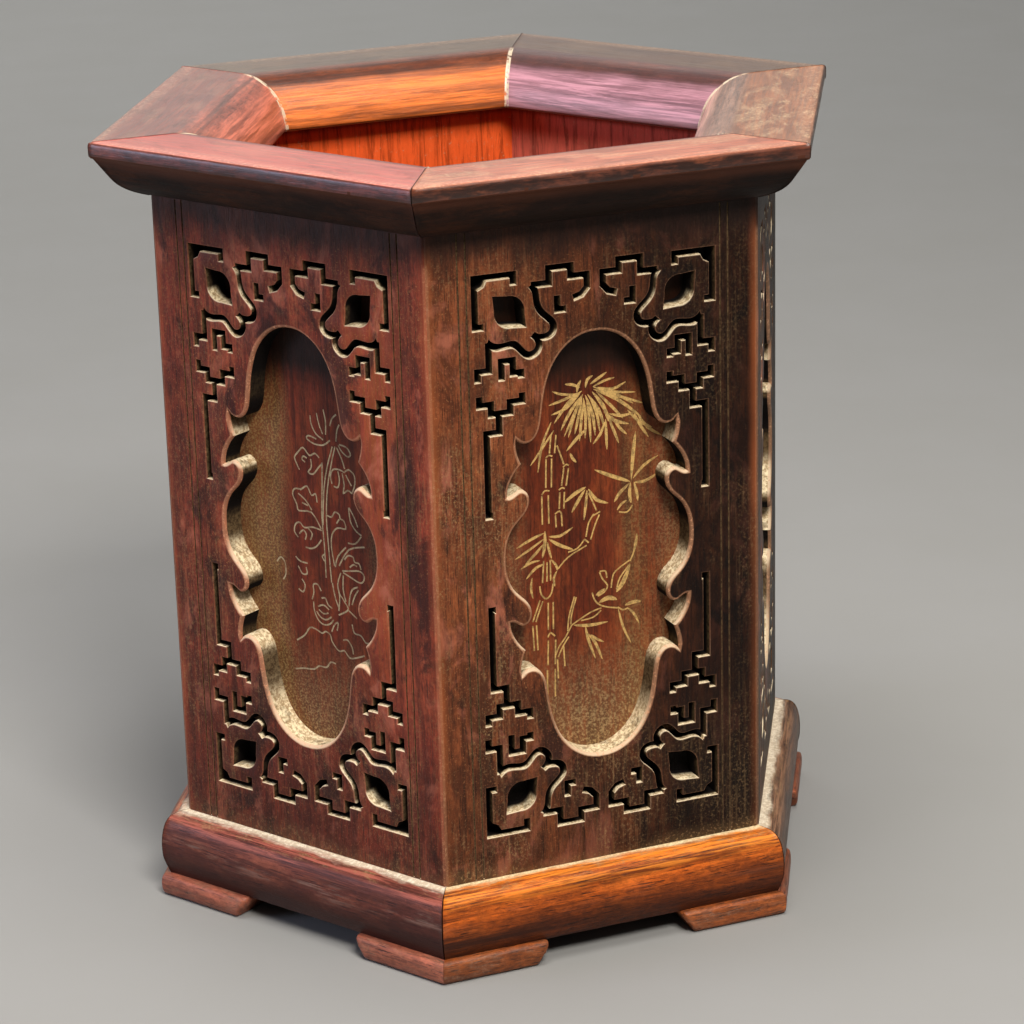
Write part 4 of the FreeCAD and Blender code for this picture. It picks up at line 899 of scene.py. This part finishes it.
GOLD_WORN, GOLD_LOST = (0.14, 0.08, 0.03), 0.6


def dress_side(side, angle, seed, look):
    """The rails, panel, board, engraving and feet of one side, each with its own material."""
    deep = look["deep"]
    rim = rail(f"rim_rail_{side}", RIM_PROFILE, angle, seed, RIM_NICKS)
    wear(rim, rim_wood(side, seed, look["rim"], deep, look["rim_top_and_sheen"], look["top_dust"], look["inner_round_and_sheen"],
                       look["round_shade"]), under_rim(side, seed + 60))
    base = rail(f"base_rail_{side}", BASE_PROFILE, angle, seed + 20, BASE_NICKS)
    wear(base, base_wood(side, seed + 10, look["base"], deep, look["bloom"], look["dust_to"],
                         look["dust_tone"]))
    panel = fret_panel(side, angle)
    wear(panel, fret_wood(side, seed + 20, look["panel"], deep, look["khaki"], look["lit"],
                          look["warm_edge"]), saw_cut(side, seed + 70))
    wear(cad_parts[f"inner_board_{side}"],
         board_wood(side, angle, seed + 30, look["board"], DARK, look["mouth"], look["stripe"]))
    gold = gold_lines(side, angle)
    wear(gold, gold_paint(f"gold_paint_{side}", seed + 40, look["gold"], GOLD_WORN, GOLD_LOST))
    feet = foot_wood(side, seed + 50, look["feet"], deep)
    for hand in (-1, 1):
        wear(foot_arm(side, angle, hand, seed + hand * 0.3), feet)


for number, (side, angle) in enumerate(SIDES.items()):
    dress_side(side, angle, number + 1.0, {**USUAL, **LOOKS[side]})

wear(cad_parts["floor_board"], plain_wood("floor_wood", 61.0, "y", (0.16, 0.05, 0.03), DARK))
wear(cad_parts["foot_pegs"], plain_wood("peg_bamboo", 62.0, "z", (0.55, 0.38, 0.18), (0.30, 0.18, 0.07)))
tongue = plain_wood("tongue_wood", 63.0, "z", (0.22, 0.09, 0.04), DARK)
for corner in CORNERS:
    for place in ("rim", "base"):
        wear(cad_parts[f"{place}_tongue_{corner}"], tongue)


# ------------------------------------------------------------------ floor, light and camera
ROOM, WALL_Y, WALL_TALL = 6.0, 1.5, 5.0
FLOOR_GREY, WALL_PALE = 0.27, 0.62
LIGHTS = {
    "top_softbox": dict(place=(-0.05, -0.12, 0.92), target=(0.0, 0.0, 0.08), size=(0.45, 0.45), watts=7.0,
                        colour=(1.0, 0.955, 0.89)),
    "front_softbox": dict(place=(-0.06, -0.74, 0.86), target=(0.0, 0.0, 0.10), size=(0.36, 0.30), watts=12.0,
                          colour=(1.0, 0.945, 0.87)),
    "left_window": dict(place=(-1.0, 0.22, 0.30), target=(0.0, 0.0, 0.13), size=(0.30, 0.40), watts=3.4,
                        colour=(0.72, 0.76, 1.0)),
    "wall_light": dict(place=(0.0, 0.95, 1.3), target=(0.0, WALL_Y, 0.85), size=(1.6, 0.4), watts=17.0,
                       colour=(1.0, 0.99, 0.96)),
}
SKY, SKY_STRENGTH = (0.84, 0.85, 0.84, 1.0), 0.10
CAMERA_AT, CAMERA_TO = Vector((-0.24336, -0.61131, 0.29325)), Vector((0.0045178, -0.0042592, 0.0757607))
CAMERA_ROLL, LENS, SENSOR, CLIP_START = math.radians(-1.54), 112.45, 36.0, 0.01


def stage_material(name, tone):
    g = Graph(name)
    at, *_ = g.place()
    mottle = g.noise(at, 0.02, 4.0)
    g.put(g.shader.inputs["Base Color"], g.mix(mottle, (tone, tone, tone * 0.97), (tone * 1.08,) * 3))
    g.shader.inputs["Roughness"].default_value = 0.9
    g.shader.inputs["Specular IOR Level"].default_value = 0.2
    return g.mat


def stage(name, corners, material):
    mesh = bpy.data.meshes.new(name)
    mesh.from_pydata(corners, [], [(0, 1, 2, 3)])
    obj = bpy.data.objects.new(name, mesh)
    bpy.context.scene.collection.objects.link(obj)
    wear(obj, material)


def area_light(name, place, target, size, watts, colour):
    data = bpy.data.lights.new(name, "AREA")
    data.shape = "RECTANGLE"
    data.size, data.size_y = size
    data.energy, data.color = watts, colour
    obj = bpy.data.objects.new(name, data)
    bpy.context.scene.collection.objects.link(obj)
    obj.location = place
    obj.rotation_euler = (Vector(target) - Vector(place)).to_track_quat("-Z", "Y").to_euler()


def photo_camera():
    """The camera that takes the photograph's view, tilted by its roll."""
    ahead = (CAMERA_TO - CAMERA_AT).normalized()
    level = ahead.cross(Vector((0, 0, 1))).normalized()
    right = math.cos(CAMERA_ROLL) * level + math.sin(CAMERA_ROLL) * level.cross(ahead)
    data = bpy.data.cameras.new("camera")
    data.lens, data.sensor_width, data.clip_start = LENS, SENSOR, CLIP_START
    camera = bpy.data.objects.new("camera", data)
    bpy.context.scene.collection.objects.link(camera)
    turned = Matrix((right, right.cross(ahead), -ahead)).transposed().to_4x4()
    camera.matrix_world = Matrix.Translation(CAMERA_AT) @ turned
    bpy.context.scene.camera = camera


stage("stage_floor", [(-ROOM, -ROOM, 0), (ROOM, -ROOM, 0), (ROOM, ROOM, 0), (-ROOM, ROOM, 0)],
      stage_material("floor_grey", FLOOR_GREY))
stage("stage_wall", [(-ROOM, WALL_Y, 0), (ROOM, WALL_Y, 0), (ROOM, WALL_Y, WALL_TALL),
                     (-ROOM, WALL_Y, WALL_TALL)], stage_material("wall_pale", WALL_PALE))
for light, settings in LIGHTS.items():
    area_light(light, **settings)
world = bpy.data.worlds.new("studio")
bpy.context.scene.world = world
world.use_nodes = True
world.node_tree.nodes["Background"].inputs[0].default_value = SKY
world.node_tree.nodes["Background"].inputs[1].default_value = SKY_STRENGTH
photo_camera()
bpy.context.scene.view_settings.view_transform = "Standard"

bpy.context.view_layer.update()
